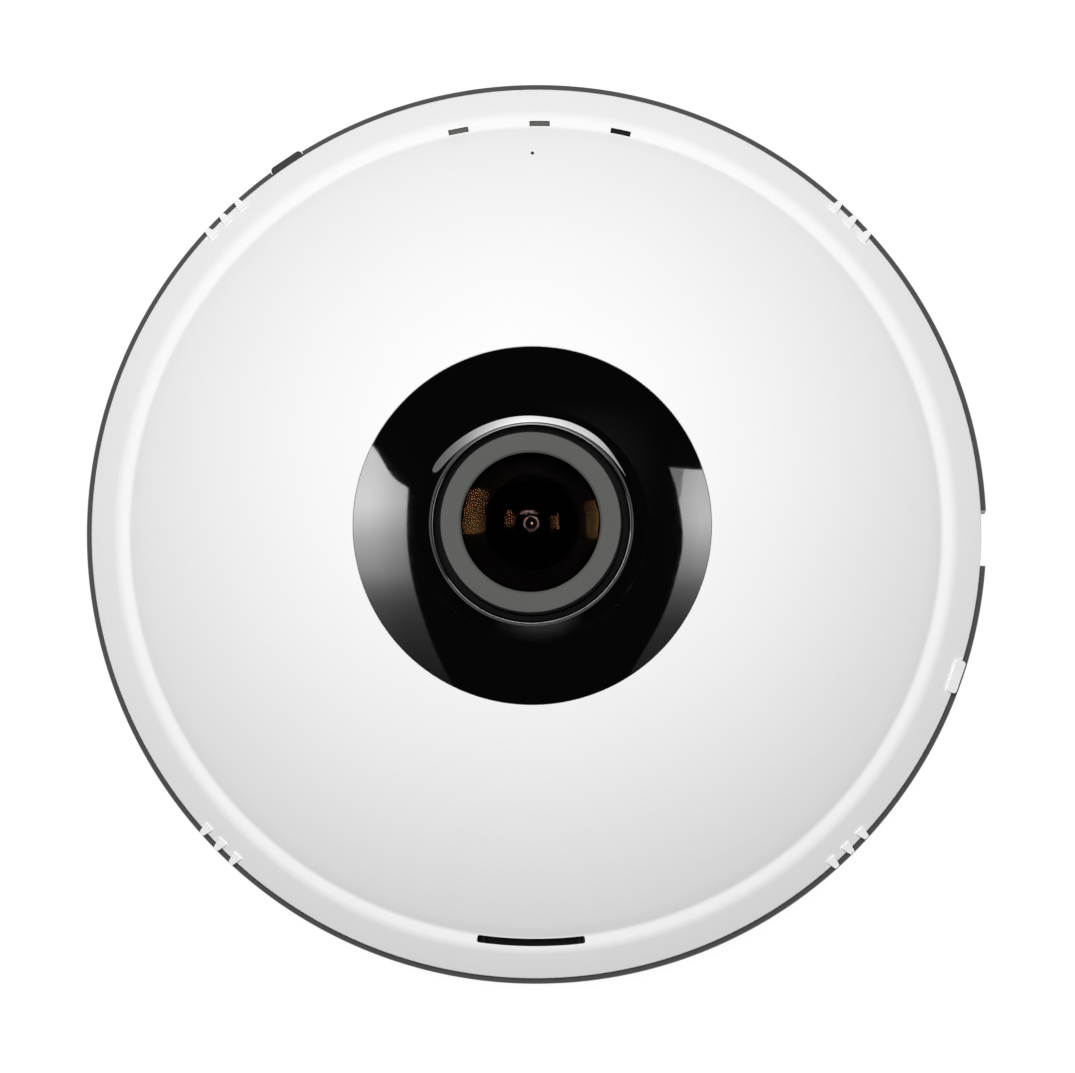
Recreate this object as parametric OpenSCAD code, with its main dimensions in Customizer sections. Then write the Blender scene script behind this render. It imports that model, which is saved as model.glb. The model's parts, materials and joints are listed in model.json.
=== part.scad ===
// Round ceiling camera with a fisheye lens, twisted onto a flat bracket.
// The lens axis is +Z. The origin is the centre of the bracket's mounting face.

/* [Bracket and rings] */
// Outside diameter of the two dark rings
ring_d = 130; // [129:0.5:136]
// Height of the bracket
bracket_h = 4; // [3.7:0.1:5]
// Thickness of the bracket's plate
bracket_plate_t = 2.2; // [1.8:0.1:2.6]
// Width of the bracket's outer rim
bracket_rim_w = 2.4; // [2:0.1:2.8]
// Diameter of the bracket's central opening
centre_hole_d = 64; // [58:1:68]
// Number of ceiling screws
mount_hole_n = 3; // [2:1:3]
// Diameter of a ceiling screw's hole
mount_hole_d = 4.5; // [4:0.1:5]
// Diameter of a ceiling screw hole's countersink
mount_sink_d = 7.5; // [7:0.1:8.5]
// Diameter of the circle through the ceiling screws
mount_circle_d = 92; // [86:1:96]
// Width of the cable notch
notch_w = 8; // [7:0.2:9]
// Turn that frees the camera from the bracket, in degrees
twist_angle = 18; // [14:1:18]
// Gap between the bracket and the camera
twist_gap = 0.3; // [0.2:0.05:0.5]
// Span of one bayonet hook, in degrees
hook_span = 12; // [9:1:13]

/* [Rear housing] */
// Thickness of the housing's floor
floor_t = 1.5; // [1.2:0.1:1.8]
// Thickness of the housing's round wall
housing_wall_t = 2.4; // [2.2:0.1:3]
// Height of the housing's lip over its rear face
lip_h = 5.1; // [4.9:0.1:6]
// Gap that shows as a dark line between the lip and the cover
seam_h = 0.4; // [0.3:0.05:0.6]
// Width of the memory card's opening
card_opening_w = 22; // [20:0.5:24]
// Width of the side button
button_w = 5.2; // [4.6:0.1:6]
// Height of the side button's face
button_h = 3.7; // [3:0.1:3.8]
// How far the side button stands out of the lip
button_proud = 0.35; // [0.2:0.05:0.6]
// Travel of the side button
button_travel = 0.5; // [0.3:0.05:0.6]
// Width of the reset button's opening
reset_opening_w = 2.2; // [2:0.1:2.8]
// Travel of the reset button
reset_travel = 0.4; // [0.3:0.05:0.6]

/* [White cover] */
// Width of the dark lip that shows round the cover
lip_reveal = 0.8; // [0.6:0.05:1.1]
// Wall thickness of the cover
cover_t = 2; // [1.7:0.05:2.2]
// Height of the cover's upright edge
edge_h = 0.7; // [0.5:0.1:1.2]
// Width of the sloping rim band
band_w = 3.8; // [3.4:0.1:4.2]
// Rise of the sloping rim band
band_rise = 3; // [2.8:0.1:3.6]
// Width of the ledge inside the rim band
ledge_w = 1.95; // [1.8:0.05:2.2]
// Drop of the ledge towards the dome
ledge_drop = 0.3; // [0.2:0.05:0.5]
// Rise of the dome from the ledge to the black collar
dome_rise = 16.2; // [15.8:0.1:18]
// Outside diameter of the black collar
collar_d = 51; // [49:0.5:54]
// Length of a status window
window_w = 2.9; // [2.6:0.1:3.3]
// Height of a status window
window_h = 0.76; // [0.7:0.02:0.9]
// Length of the speaker's slot
sound_slot_w = 15.4; // [12:0.2:15.6]
// Height of the speaker's slot
sound_slot_h = 1.07; // [0.9:0.01:1.2]
// Width of a grip rib
rib_w = 1.4; // [1:0.1:1.8]
// Width of the alignment tab
tab_w = 5.2; // [4:0.1:6]

/* [Lens] */
// Width of the satin ring round the front glass
lens_ring_w = 2.85; // [2.6:0.05:3.1]
// Visible diameter of the front glass
glass_d = 19.7; // [19:0.1:20.2]
// Radius of the front glass's outer face
glass_front_r = 30; // [26:0.5:34]
// Height of the satin ring over the collar's edge
lens_stand = 8.7; // [8:0.1:9.6]
// Depth of the front glass's visible edge below the top of the satin ring
glass_inset = 0.7; // [0.5:0.05:0.9]
// Gap between the lens barrel and the collar
lens_gap = 1.05; // [0.8:0.05:1.2]
// Diameter of the lens barrel's mounting thread
thread_d = 12; // [11.6:0.1:12.4]

/* [Electronics] */
// Thickness of the main board
board_t = 1.6; // [1.2:0.1:1.8]
// Height of the board's standoffs over the floor
board_rise = 1.5; // [1.45:0.05:1.7]
// Length, width and height of the network jack
jack_size = [16.2, 16, 11.5];
// Length, width and height of the power jack
power_size = [14, 9.5, 11];
// Clear length of the plug bay in front of the jacks
bay_len = 16; // [14:0.5:17]
// Diameter of the speaker
speaker_d = 23; // [20:0.5:24]

/* [Hidden] */
$fn = 96;
arc_steps = 28;

// Shared clearances
overrun = 1;          // length of every cut past the face it leaves
fuse = 0.2;           // depth by which features of one piece run into each other
fit_gap = 0.1;        // play between neighbours of one body
pin_gap = 0.03;       // play of a screw or spigot in its hole
key_gap = 0.3;        // play round a moving key

// Heights of the stack, from the mounting face upward
ring_r = ring_d / 2;
base_z = bracket_h + twist_gap;
floor_z = base_z + floor_t;
board_z = floor_z + board_rise;
board_top = board_z + board_t;
lip_z = base_z + lip_h;
cover_z = lip_z + seam_h;
edge_z = cover_z + edge_h;
shoulder_z = edge_z + band_rise;
crease_z = shoulder_z - ledge_drop;
collar_z = crease_z + dome_rise;
lens_ring_z = collar_z + lens_stand;
lens_ring_d = glass_d + 2 * lens_ring_w;
front_c = lens_ring_z - glass_inset - sqrt(pow(glass_front_r, 2) - pow(glass_d / 2, 2));
glass_top_z = front_c + glass_front_r;

// Radii of the cover
cover_r = ring_r - lip_reveal;
shoulder_r = cover_r - band_w;
crease_r = shoulder_r - ledge_w;
collar_r = collar_d / 2;

// The dome is a sphere through the crease and the collar's edge
dome_c = (collar_z + crease_z) / 2
  - (pow(crease_r, 2) - pow(collar_r, 2)) / (2 * (collar_z - crease_z));
dome_r = sqrt(pow(collar_r, 2) + pow(collar_z - dome_c, 2));
inner_r = dome_r - cover_t;

// Height of the dome, and of its underside, at a distance from the lens axis
function dome_at(r) = dome_c + sqrt(pow(dome_r, 2) - pow(r, 2));
function under_at(r, gap = 0) = dome_c + sqrt(pow(inner_r - gap, 2) - pow(r, 2));

// Housing wall, grooves and the board that fits inside them
wall_r = ring_r - housing_wall_t;
seat_w = 1.2;
lip_chamfer = 0.25;
opening_floor_t = 0.9;
ear_front_gap = 0.5;
groove_w = 6.1;
groove_wall = 1.5;
board_gap = 0.5;
ear_gap = 2.6;
groove_r = wall_r - groove_w;
board_r = groove_r - groove_wall - board_gap;
board_ear_r = wall_r - ear_gap;
board_ear_angles = [76.5, 131.5];

// Bayonet hooks and lugs
hook_n = 3;
hook_first_a = 58;
hook_wall = 1.6;
hook_side_gap = 0.8;
hook_t = 1.3;
hook_gap = 0.3;
hook_top_gap = 0.4;
hook_stop_a = 1.2;
hook_stop_gap_a = 0.6;
groove_end_a = 2;
groove_wall_a = 1.5;
lug_t = 1.7;
lug_gap = 0.6;
hook_outer_r = wall_r - hook_side_gap;
hook_inner_r = groove_r + hook_side_gap;
hook_top = base_z + lug_t + hook_gap + hook_t;
groove_top = hook_top + hook_top_gap;
inner_rim_w = 2;
inner_rim_gap = 0.4;
mount_first_a = 60;
mount_sink_t = 1.3;
lug_w = groove_w - hook_side_gap - hook_wall - lug_gap;

// Places round the lip, in degrees from +X
notch_a = -0.75;
card_a = 89;
reset_a = 108.85;
button_a = 123.9;
tab_a = -19;
window_a = 89.4;
window_step_a = 11.45;
window_n = 3;
sound_slot_a = 269.4;
rib_first_a = 44.65;
rib_step_a = 2.65;
rib_n = 3;
rib_groups = 4;

// Pieces of the cover
edge_round_share = 1.5;
shoulder_round = 0.7;
crease_round = 1.1;
rib_out = 0.72;
rib_drop = 0.5;
rib_h = 1.5;
tab_out = 0.5;
tab_round = 0.4;
window_in = 0.15;
sound_slot_in = 0.08;
mic_hole_d = 0.5;
mic_in = 4.05;
mic_r = crease_r - mic_in;
mic_a = 90.35;
boss_r = 3.2;
screw_circle_share = 0.917;
screw_r = board_r * screw_circle_share;
screw_n = 4;
screw_first_a = 45;

// Screws that hold the cover
screw_shank_d = 2.6;
screw_head_d = 4.8;
screw_head_t = 1.4;
screw_len = 8.8;
screw_recess = 1.7;
screw_pillar_r = 3.6;
cross_w_share = 0.3;
cross_share = 0.6;

// Screws that hold the board
board_screw_d = 2.2;
board_screw_head_d = 4.2;
board_screw_head_t = 1.3;
board_screw_bite = 0.7;
board_screw_r_share = 0.62;
board_screw_angles = [120, 200, 300];
standoff_r = 2.4;

// Collar
collar_t = 2;
collar_bevel = 0.3;
collar_flange_w = 3;
collar_flange_t = 1.4;
sleeve_wall = 1.45;
sleeve_drop = 5.4;
rim_w = 0.6;
rim_rise = 1.5;
rim_round = 0.28;
rim_fillet = 1.6;

// Lens barrel and its glasses
barrel_step = 0.2;
ring_bevel = 0.3;
ring_skirt_h = 1;
ring_skirt_w = 0.8;
ring_skirt_gap = 0.05;
glass_margin = 0.45;
glass_play = 0.05;
front_seat_drop = 3.75;
front_t = 1.8;
front_back_r = 8.2;
throat_bore_r = 7;
second_seat_drop = 5.8;
second_top_drop = 1.1;
second_t = 1.4;
second_front_r = 9;
second_back_r = 4.6;
spacer_wall = 0.75;
core_bore_r = 4.2;
core_lip_r = 3.4;
core_lip_t = 0.7;
rear_edge_h = 2.4;
rear_sag = 1;
stop_gap = 0.1;
stop_t = 0.4;
stop_hole_d = 2.6;
third_edge_h = 2.7;
third_sag = 1.1;
head_cone_h = 2;
gasket_h = 2.5;

// Lens holder on the sensor board
sensor_rise = 4;
sensor_board_x = [-19, 9];
sensor_board_w = 28;
sensor_board_t = 1.2;
sensor_size = [9, 9, 1];
filter_size = [9.6, 9.6, 0.3];
holder_w = 17;
holder_cavity_w = 10.5;
holder_cavity_h = 2.4;
holder_web_t = 0.6;
holder_web_r = 3.8;
holder_tube_r = 8;
holder_h = 8.9;
ear_r = 2.4;
ear_y = 11.5;
lock_ring_r = 8.8;
lock_ring_t = 1.5;
lock_ring_gap = 0.5;
lens_foot_gap = 0.2;
holder_screw_d = 2;
holder_screw_head_d = 3.8;
holder_screw_head_t = 1.2;
holder_screw_bite = 1.9;
post_inset = 2.5;
post_r = 2.3;
post_spigot_d = 2;
post_spigot_share = 0.8;
post_screw_d = 1.6;
post_screw_head_d = 3.4;
post_screw_head_t = 1.1;
post_screw_bite = 1.6;
post_hole_depth = 2.4;

// Pieces on the main board
processor_size = [14, 14, 1.2];
pad_size = [13, 13, 1];
sink_size = [18, 18, 1.5];
sink_fin_n = 7;
sink_fin_h = 4;
sink_fin_t = 0.9;
memory_sizes = [[8, 12, 1], [6, 8, 1]];
wifi_size = [12, 15, 2];
antenna_size = [0.8, 28, 6];
coax_d = 1.1;
coax_bend_r = 24;
transformer_size = [12.8, 7.2, 5];
inductor_size = [7, 7, 4];
inductor_core_d = 5.4;
capacitor_d = 6.3;
capacitor_h = 8;
connector_size = [4, 14];
led_size = [0.8, 1.6, 0.6];
guide_foot = [1.5, 3.6, 1.1];
guide_play = 0.08;
guide_lip = 0.05;
mic_d = 4;
mic_h = 1.6;
mic_boot_wall = 0.6;
mic_boot_r = mic_d / 2 + mic_boot_wall;
mic_boot_hole_d = 1.2;
processor_share = [-0.55, 0.09];
memory_shares = [[-0.55, 0.46], [-0.8, -0.08]];
wifi_share = [-0.46, -0.44];
antenna_share = -0.9;
transformer_share = [0.37, -0.365];
inductor_share = [0.11, 0.44];
capacitor_shares = [[0.29, 0.43], [0.44, 0.41]];
speaker_share = -0.749;

// Jacks and the plug bay
jack_gap = 1;
jack_play = 0.15;
bay_side = 0.75;
bay_wall = 1.2;
bay_roof_gap = 0.4;
bay_flat_len = 8.5;
bay_low_rise = 2.1;
bay_flange_w = 1.2;
bay_flange_t = 0.8;
port_w = 11.9;
port_h = 8.2;
port_rise = 2.4;
port_depth = 13;
latch_w = 6.2;
latch_h = 1.4;
latch_depth = 9;
contact_n = 8;
contact_pitch = 1.02;
contact_d = 0.46;
contact_len = 8;
contact_drop = 2.6;
power_bore_d = 6.3;
power_bore_depth = 9.5;
power_pin_d = 2.1;
power_pin_set = 1;
power_rise = 6.2;
channel_h = 4;
channel_wall = 1.2;
board_cut_gap = 0.4;
window_gap = 1.1;

// Keys, card socket and speaker
switch_size = [4, 4.6, 1.4];
switch_front_gap = 0.2;
plunger_seat = 1.2;
plunger_w = 1.4;
plunger_t = 0.8;
plunger_play = 0.1;
key_back_gap = 1.4;
key_flange_t = 1;
key_flange_w = 1;
key_round = 0.6;
reset_recess = 1.5;
reset_side_gap = 0.35;
reset_flange_w = 0.8;
socket_size = [14.8, 14, 1.4];
socket_slot = [13.8, 11.2, 1];
speaker_h = 3.2;
speaker_bowl_depth = 1.3;
speaker_bowl_wall = 1.5;
cone_t = 0.3;
cone_rise = 0.6;
cap_share = 0.4;
box_margin = 1.3;
box_wall = 1.2;
box_floor_t = 0.8;
box_h = 7.4;
duct_inset_a = 0.6;
duct_side_a = 0.45;
duct_wall = 0.45;
wire_d = 0.9;
wire_bend_r = 12;
wire_plug = [5, 4, 3];
wire_plug_share = [0.48, -0.6];
vent_n = 5;
vent_w = 1.6;
vent_step = 4;
vent_x_shares = [-0.84, -0.59];
label_x = [-24, 10];
label_y = [-32, -16];
label_depth = 0.3;

// Radii and heights of the lens
barrel_r = lens_ring_d / 2 + barrel_step;
collar_bore_r = barrel_r + lens_gap;
rim_outer_r = collar_bore_r + rim_w;
rim_z = dome_at(rim_outer_r) + rim_rise;
sleeve_z = collar_z - sleeve_drop;
front_r = glass_d / 2 + glass_margin;
barrel_top_z = lens_ring_z - glass_inset + glass_play;
skirt_r = front_r + glass_play + ring_skirt_gap;
front_seat_z = barrel_top_z - front_seat_drop;
second_seat_z = front_seat_z - second_seat_drop;
second_top_z = front_seat_z - second_top_drop;
second_r = throat_bore_r - glass_play;
thread_r = thread_d / 2;
sensor_board_z = board_top + sensor_rise;
sensor_z = sensor_board_z + sensor_board_t;
web_z = sensor_z + holder_cavity_h;
holder_top = sensor_z + holder_h;
lens_foot_z = web_z + holder_web_t + lens_foot_gap;
head_z = holder_top + lock_ring_t + lock_ring_gap;
core_z = lens_foot_z + core_lip_t;
stop_z = core_z + rear_edge_h + rear_sag + stop_gap;
third_z = stop_z + stop_t;
core_glass_r = core_bore_r - glass_play;

// Places of the jacks and of the bay in front of them
jack_x = sensor_board_x[1] + lock_ring_gap;
jack_face_x = jack_x + jack_size[0];
plugs_w = jack_size[1] + jack_gap + power_size[1];
jack_y = -plugs_w / 2;
power_y = jack_y + jack_size[1] + jack_gap;
bay_half_w = plugs_w / 2 + bay_side;
bay_end_x = jack_face_x + bay_len;
bay_roof_z = board_top + jack_size[2] + bay_roof_gap;
bay_low_z = lip_z + bay_low_rise;
channel_z = base_z + channel_h;

// Places of the keys
key_back_r = wall_r - key_back_gap;
switch_face_r = board_ear_r + switch_front_gap;
switch_mid_z = board_z - switch_size[2] / 2;
key_floor_z = base_z + opening_floor_t;
speaker_y = board_r * speaker_share;
box_half = speaker_d / 2 + box_margin;
box_floor_z = board_top + box_floor_t;

module at(angle) rotate([0, 0, angle]) children();

module lifted(z) translate([0, 0, z]) children();

// Box given by its range along each axis
module block(x, y, z)
  translate([x[0], y[0], z[0]]) cube([x[1] - x[0], y[1] - y[0], z[1] - z[0]]);

// Box of a size, centred on a place and standing on a height
module chip(size, place, z)
  block([place[0] - size[0] / 2, place[0] + size[0] / 2],
    [place[1] - size[1] / 2, place[1] + size[1] / 2], [z, z + size[2]]);

module disc(r, z) lifted(z[0]) cylinder(h = z[1] - z[0], r = r);

module drill(r, z) disc(r, [z[0] - overrun, z[1] + overrun]);

module ring(r, z) difference() {
  disc(r[1], z);
  drill(r[0], z);
}

// Part of a ring between two angles
module sector(r, z, angles)
  at(angles[0]) rotate_extrude(angle = angles[1] - angles[0])
    translate([r[0], z[0]]) square([r[1] - r[0], z[1] - z[0]]);

module rod(a, b, d) {
  v = b - a;
  translate(a) rotate([0, acos(v[2] / norm(v)), atan2(v[1], v[0])])
    cylinder(h = norm(v), d = d, $fn = 24);
}

// Wire that lies in an arc of radius r from one place to another, at a height
module arc_wire(a, b, z, r, d) {
  half = norm(b - a) / 2;
  side = [a[1] - b[1], b[0] - a[0]] / (2 * half);
  centre = (a + b) / 2 + side * sqrt(pow(r, 2) - pow(half, 2));
  translate([centre[0], centre[1], z]) at(atan2(a[1] - centre[1], a[0] - centre[0]))
    rotate_extrude(angle = 2 * asin(half / r)) translate([r, 0]) circle(d = d, $fn = 24);
}

module ball(r, z) lifted(z) sphere(r = r);

// Screw along Z: the head fills z[0] to z[1], the shank runs on to z[2]
module screw(head_r, shank_r, z) {
  difference() {
    disc(head_r, [min(z[0], z[1]), max(z[0], z[1])]);
    for (a = [0, 90]) at(a)
      lifted(z[0]) cube([2 * head_r * cross_share, head_r * cross_w_share, abs(z[1] - z[0])],
        center = true);
  }
  disc(shank_r, [min(z[1], z[2]), max(z[1], z[2])]);
}

// Points of an arc that rounds the corner b of the path a, b, c
function unit(v) = v / norm(v);
function corner(a, b, c, r, n = 6) =
  let (u = unit(a - b), v = unit(c - b), half = acos(u * v) / 2,
    mid = unit(u + v), centre = b + mid * r / sin(half),
    p = b + u * r / tan(half) - centre, side = sign(u[0] * v[1] - u[1] * v[0]))
  [for (i = [0 : n]) let (t = side * (2 * half - 180) * i / n)
    centre + [p[0] * cos(t) - p[1] * sin(t), p[0] * sin(t) + p[1] * cos(t)]];

// Points of the dome's section, or of its underside, from one radius to another
function dome_arc(r, sphere_r, n = arc_steps) = [for (i = [0 : n])
  let (x = r[0] + (r[1] - r[0]) * i / n) [x, dome_c + sqrt(pow(sphere_r, 2) - pow(x, 2))]];

// Sizes of the cover's section, worked out from its wall
band_l = norm([band_w, band_rise]);
inner_band = [cover_r - cover_t * band_rise / band_l, edge_z - cover_t * band_w / band_l];
inner_edge_r = inner_band[0] - (cover_z - inner_band[1]) * band_w / band_rise;
ledge_under_z = crease_z - cover_t;
inner_ledge_r = inner_band[0] - (ledge_under_z - inner_band[1]) * band_w / band_rise;
inner_dome_r = sqrt(pow(inner_r, 2) - pow(ledge_under_z - dome_c, 2));
window_r = [crease_r + window_in, crease_r + window_in + window_h];
sound_slot_r = [crease_r + sound_slot_in, crease_r + sound_slot_in + sound_slot_h];

// Half the angle that a length spans at a radius
function half_angle(w, r) = w / 2 / r * 180 / PI;

// Bayonet hook of the bracket, with the stop that the lug meets when the camera is locked
module hook() {
  sector([hook_outer_r - hook_wall, hook_outer_r], [bracket_plate_t - fuse, hook_top],
    [-hook_stop_a, hook_span]);
  sector([hook_inner_r, hook_outer_r], [hook_top - hook_t, hook_top], [-hook_stop_a, hook_span]);
  sector([hook_inner_r, hook_outer_r], [bracket_plate_t - fuse, hook_top], [-hook_stop_a, 0]);
}

module mounting_bracket() color("#46474b") difference() {
  union() {
    disc(ring_r, [0, bracket_plate_t]);
    ring([ring_r - bracket_rim_w, ring_r], [0, bracket_h]);
    ring([centre_hole_d / 2, centre_hole_d / 2 + inner_rim_w], [0, bracket_h - inner_rim_gap]);
    for (i = [0 : hook_n - 1]) at(hook_first_a + i * 360 / hook_n) hook();
  }
  drill(centre_hole_d / 2, [0, bracket_h]);
  block([0, bay_end_x + bay_wall + window_gap],
    [-bay_half_w - window_gap, bay_half_w + window_gap], [-overrun, bracket_h + overrun]);
  at(notch_a) block([ring_r - bracket_rim_w, ring_r + overrun],
    [-notch_w / 2, notch_w / 2], [-overrun, bracket_h + overrun]);
  for (i = [0 : mount_hole_n - 1]) at(mount_first_a + i * 360 / mount_hole_n)
    translate([mount_circle_d / 2, 0, 0]) {
      drill(mount_hole_d / 2, [0, bracket_plate_t]);
      lifted(bracket_plate_t - mount_sink_t)
        cylinder(h = mount_sink_t, r1 = mount_hole_d / 2, r2 = mount_sink_d / 2);
    }
}

// Angles of one bayonet groove, which follows its hook through the whole twist
function groove_angles(i, pad = 0) = let (a = hook_first_a + i * 360 / hook_n)
  [a - twist_angle - groove_end_a - pad, a + hook_span + groove_end_a + pad];

module at_cover_screws() for (i = [0 : screw_n - 1])
  at(screw_first_a + i * 360 / screw_n) translate([screw_r, 0, 0]) children();

module at_board_screws() for (a = board_screw_angles)
  at(a) translate([board_r * board_screw_r_share, 0, 0]) children();

module rear_housing() color("#4b4b4c") union() {
  difference() {
    union() {
      disc(ring_r, [base_z, floor_z]);
      rotate_extrude() polygon([[wall_r, base_z], [ring_r, base_z], [ring_r, lip_z - lip_chamfer],
        [ring_r - lip_chamfer, lip_z], [wall_r + seat_w, lip_z], [wall_r + seat_w, cover_z],
        [wall_r, cover_z]]);
      for (i = [0 : hook_n - 1])
        sector([groove_r - groove_wall, wall_r + fuse], [base_z, lip_z],
          groove_angles(i, groove_wall_a));
      at(notch_a) block([bay_end_x + bay_wall + fit_gap, wall_r + fuse],
        [-notch_w / 2 - channel_wall, notch_w / 2 + channel_wall], [base_z, channel_z + channel_wall]);
      at_cover_screws() disc(screw_pillar_r, [base_z, board_z]);
      at_board_screws() disc(standoff_r, [base_z, board_z]);
    }
    for (i = [0 : hook_n - 1])
      sector([groove_r, wall_r], [base_z - overrun, groove_top], groove_angles(i));
    block([jack_face_x - bay_wall - fit_gap, bay_end_x + bay_wall + fit_gap],
      [-bay_half_w - bay_wall - fit_gap, bay_half_w + bay_wall + fit_gap],
      [base_z - overrun, floor_z + fuse]);
    at(notch_a) {
      block([bay_end_x, ring_r + overrun], [-notch_w / 2, notch_w / 2], [base_z - overrun, channel_z]);
      block([wall_r, ring_r + overrun], [-notch_w / 2, notch_w / 2],
        [base_z - overrun, cover_z + overrun]);
    }
    lip_opening(card_a, board_ear_r + ear_front_gap, card_opening_w);
    lip_opening(button_a, key_back_r - button_travel - key_gap, button_w + 2 * key_gap);
    lip_opening(reset_a, key_back_r - reset_travel - key_gap, reset_opening_w);
    for (i = [0 : vent_n - 1]) let (y = (i - (vent_n - 1) / 2) * vent_step)
      block(vent_x_shares * board_r, [y - vent_w / 2, y + vent_w / 2],
        [base_z - overrun, floor_z + overrun]);
    block(label_x, label_y, [base_z - overrun, base_z + label_depth]);
    at_cover_screws() {
      drill(screw_shank_d / 2 + pin_gap, [base_z, board_z]);
      disc(screw_head_d / 2 + key_gap, [base_z - overrun, base_z + screw_recess]);
    }
    at_board_screws()
      disc(board_screw_d / 2 + pin_gap, [base_z + board_screw_bite, board_z + overrun]);
  }
  for (i = [0 : hook_n - 1]) let (a = hook_first_a + i * 360 / hook_n)
    sector([groove_r - fuse, groove_r + lug_w], [base_z, base_z + lug_t],
      [a + hook_stop_gap_a, a + hook_span - hook_stop_gap_a]);
}

// Opening through the housing's lip, from a radius outward
module lip_opening(a, r, w) at(a)
  block([r, ring_r + overrun], [-w / 2, w / 2], [key_floor_z, cover_z + overrun]);

// Side outline of the plug bay, grown by its wall
function bay_outline(g, bottom) = [[jack_face_x - g, bottom], [jack_face_x - g, bay_roof_z + g],
  [jack_face_x + bay_flat_len + g, bay_roof_z + g], [bay_end_x + g, bay_low_z + g],
  [bay_end_x + g, bottom]];

module bay_prism(g, bottom, half_w) rotate([90, 0, 0])
  linear_extrude(height = 2 * half_w, center = true) polygon(bay_outline(g, bottom));

module port_bay() color("#3e3f41") difference() {
  union() {
    bay_prism(bay_wall, base_z, bay_half_w + bay_wall);
    for (s = [-1, 1]) let (y = [bay_half_w, bay_half_w + bay_wall + bay_flange_w] * s)
      block([jack_face_x - bay_wall, bay_end_x + bay_wall], [min(y), max(y)],
        [floor_z, floor_z + bay_flange_t]);
  }
  bay_prism(0, base_z - overrun, bay_half_w);
  block([jack_face_x - bay_wall - overrun, jack_face_x + fuse],
    [jack_y - jack_play, jack_y + jack_size[1] + jack_play],
    [board_top - jack_play, board_top + jack_size[2] + jack_play]);
  block([jack_face_x - bay_wall - overrun, jack_face_x + fuse],
    [power_y - jack_play, power_y + power_size[1] + jack_play],
    [board_top - jack_play, board_top + power_size[2] + jack_play]);
  at(notch_a) block([bay_end_x - overrun, bay_end_x + bay_wall + overrun],
    [-notch_w / 2, notch_w / 2], [base_z - overrun, channel_z]);
}

// Section of the cover: dome, crease, ledge, shoulder and rim band, then the inside
crease_arc = corner([crease_r - (crease_z - dome_c), crease_z + crease_r],
  [crease_r, crease_z], [shoulder_r, shoulder_z], crease_round);
function cover_outline() = concat(
  dome_arc([collar_r, crease_arc[0][0] - fuse], dome_r), crease_arc,
  corner([crease_r, crease_z], [shoulder_r, shoulder_z], [cover_r, edge_z], shoulder_round),
  corner([shoulder_r, shoulder_z], [cover_r, edge_z], [cover_r, cover_z], edge_h * edge_round_share),
  [[cover_r, cover_z], [inner_edge_r, cover_z], [inner_ledge_r, ledge_under_z]],
  dome_arc([inner_dome_r, collar_r], inner_r));

module front_cover() color("#eeefed") difference() {
  union() {
    rotate_extrude() polygon(cover_outline());
    intersection() {
      at_cover_screws() disc(boss_r, [board_top, collar_z]);
      ball(inner_r + cover_t / 2, dome_c);
    }
    for (g = [0 : rib_groups - 1], i = [0 : rib_n - 1])
      at(rib_first_a + g * 360 / rib_groups + (i - (rib_n - 1) / 2) * rib_step_a)
        lifted(cover_z) linear_extrude(height = rib_h)
          polygon([[cover_r - rib_drop, -rib_w / 2], [cover_r + rib_out, 0],
            [cover_r - rib_drop, rib_w / 2]]);
    at(tab_a) {
      block([cover_r - rib_drop, cover_r + tab_out], [-tab_w / 2 + tab_round, tab_w / 2 - tab_round],
        [cover_z, cover_z + rib_h]);
      for (s = [-1, 1]) translate([cover_r + tab_out - tab_round, s * (tab_w / 2 - tab_round), 0])
        disc(tab_round, [cover_z, cover_z + rib_h]);
    }
  }
  for (i = [0 : window_n - 1]) let (a = window_angle(i), h = half_angle(window_w, window_r[0]))
    sector(window_r, [ledge_under_z - overrun, shoulder_z + overrun], [a - h, a + h]);
  sector(sound_slot_r, [ledge_under_z - overrun, shoulder_z + overrun],
    [sound_slot_a - half_angle(sound_slot_w, sound_slot_r[0]),
      sound_slot_a + half_angle(sound_slot_w, sound_slot_r[0])]);
  at(mic_a) translate([mic_r, 0, 0]) disc(mic_hole_d / 2, [ledge_under_z, collar_z]);
  at_cover_screws() disc(screw_shank_d / 2 + pin_gap,
    [board_top - overrun, base_z + screw_recess + screw_len + key_gap]);
}

function window_angle(i) = window_a + (i - (window_n - 1) / 2) * window_step_a;

// Section of the collar: raised rim, fillet, dome surface, flange under the cover and sleeve
collar_edge_r = collar_r - fit_gap;
flange_r = collar_r + collar_flange_w;
sleeve_r = collar_bore_r + sleeve_wall;
rim_foot = [rim_outer_r, dome_at(rim_outer_r)];
rim_arc = corner([rim_outer_r, rim_z + rim_fillet], rim_foot,
  rim_foot + [dome_at(rim_outer_r) - dome_c, -rim_outer_r], rim_fillet);
function collar_outline() = concat(
  [[collar_bore_r, sleeve_z]],
  corner([collar_bore_r, sleeve_z], [collar_bore_r, rim_z], [rim_outer_r, rim_z], rim_round),
  corner([collar_bore_r, rim_z], [rim_outer_r, rim_z], [rim_outer_r, sleeve_z], rim_round),
  rim_arc,
  dome_arc([rim_arc[len(rim_arc) - 1][0] + fuse, collar_edge_r - collar_bevel], dome_r),
  [[collar_edge_r, dome_at(collar_edge_r) - collar_bevel],
    [collar_edge_r, under_at(collar_edge_r, fit_gap)], [flange_r, under_at(flange_r, fit_gap)],
    [flange_r, under_at(flange_r, fit_gap + collar_flange_t)],
    [collar_r - collar_t, under_at(collar_r - collar_t, fit_gap + collar_flange_t)],
    [collar_r - collar_t, dome_at(collar_r - collar_t) - collar_t]],
  dome_arc([collar_r - 2 * collar_t, sleeve_r], dome_r - collar_t, 6),
  [[sleeve_r, sleeve_z]]);

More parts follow.
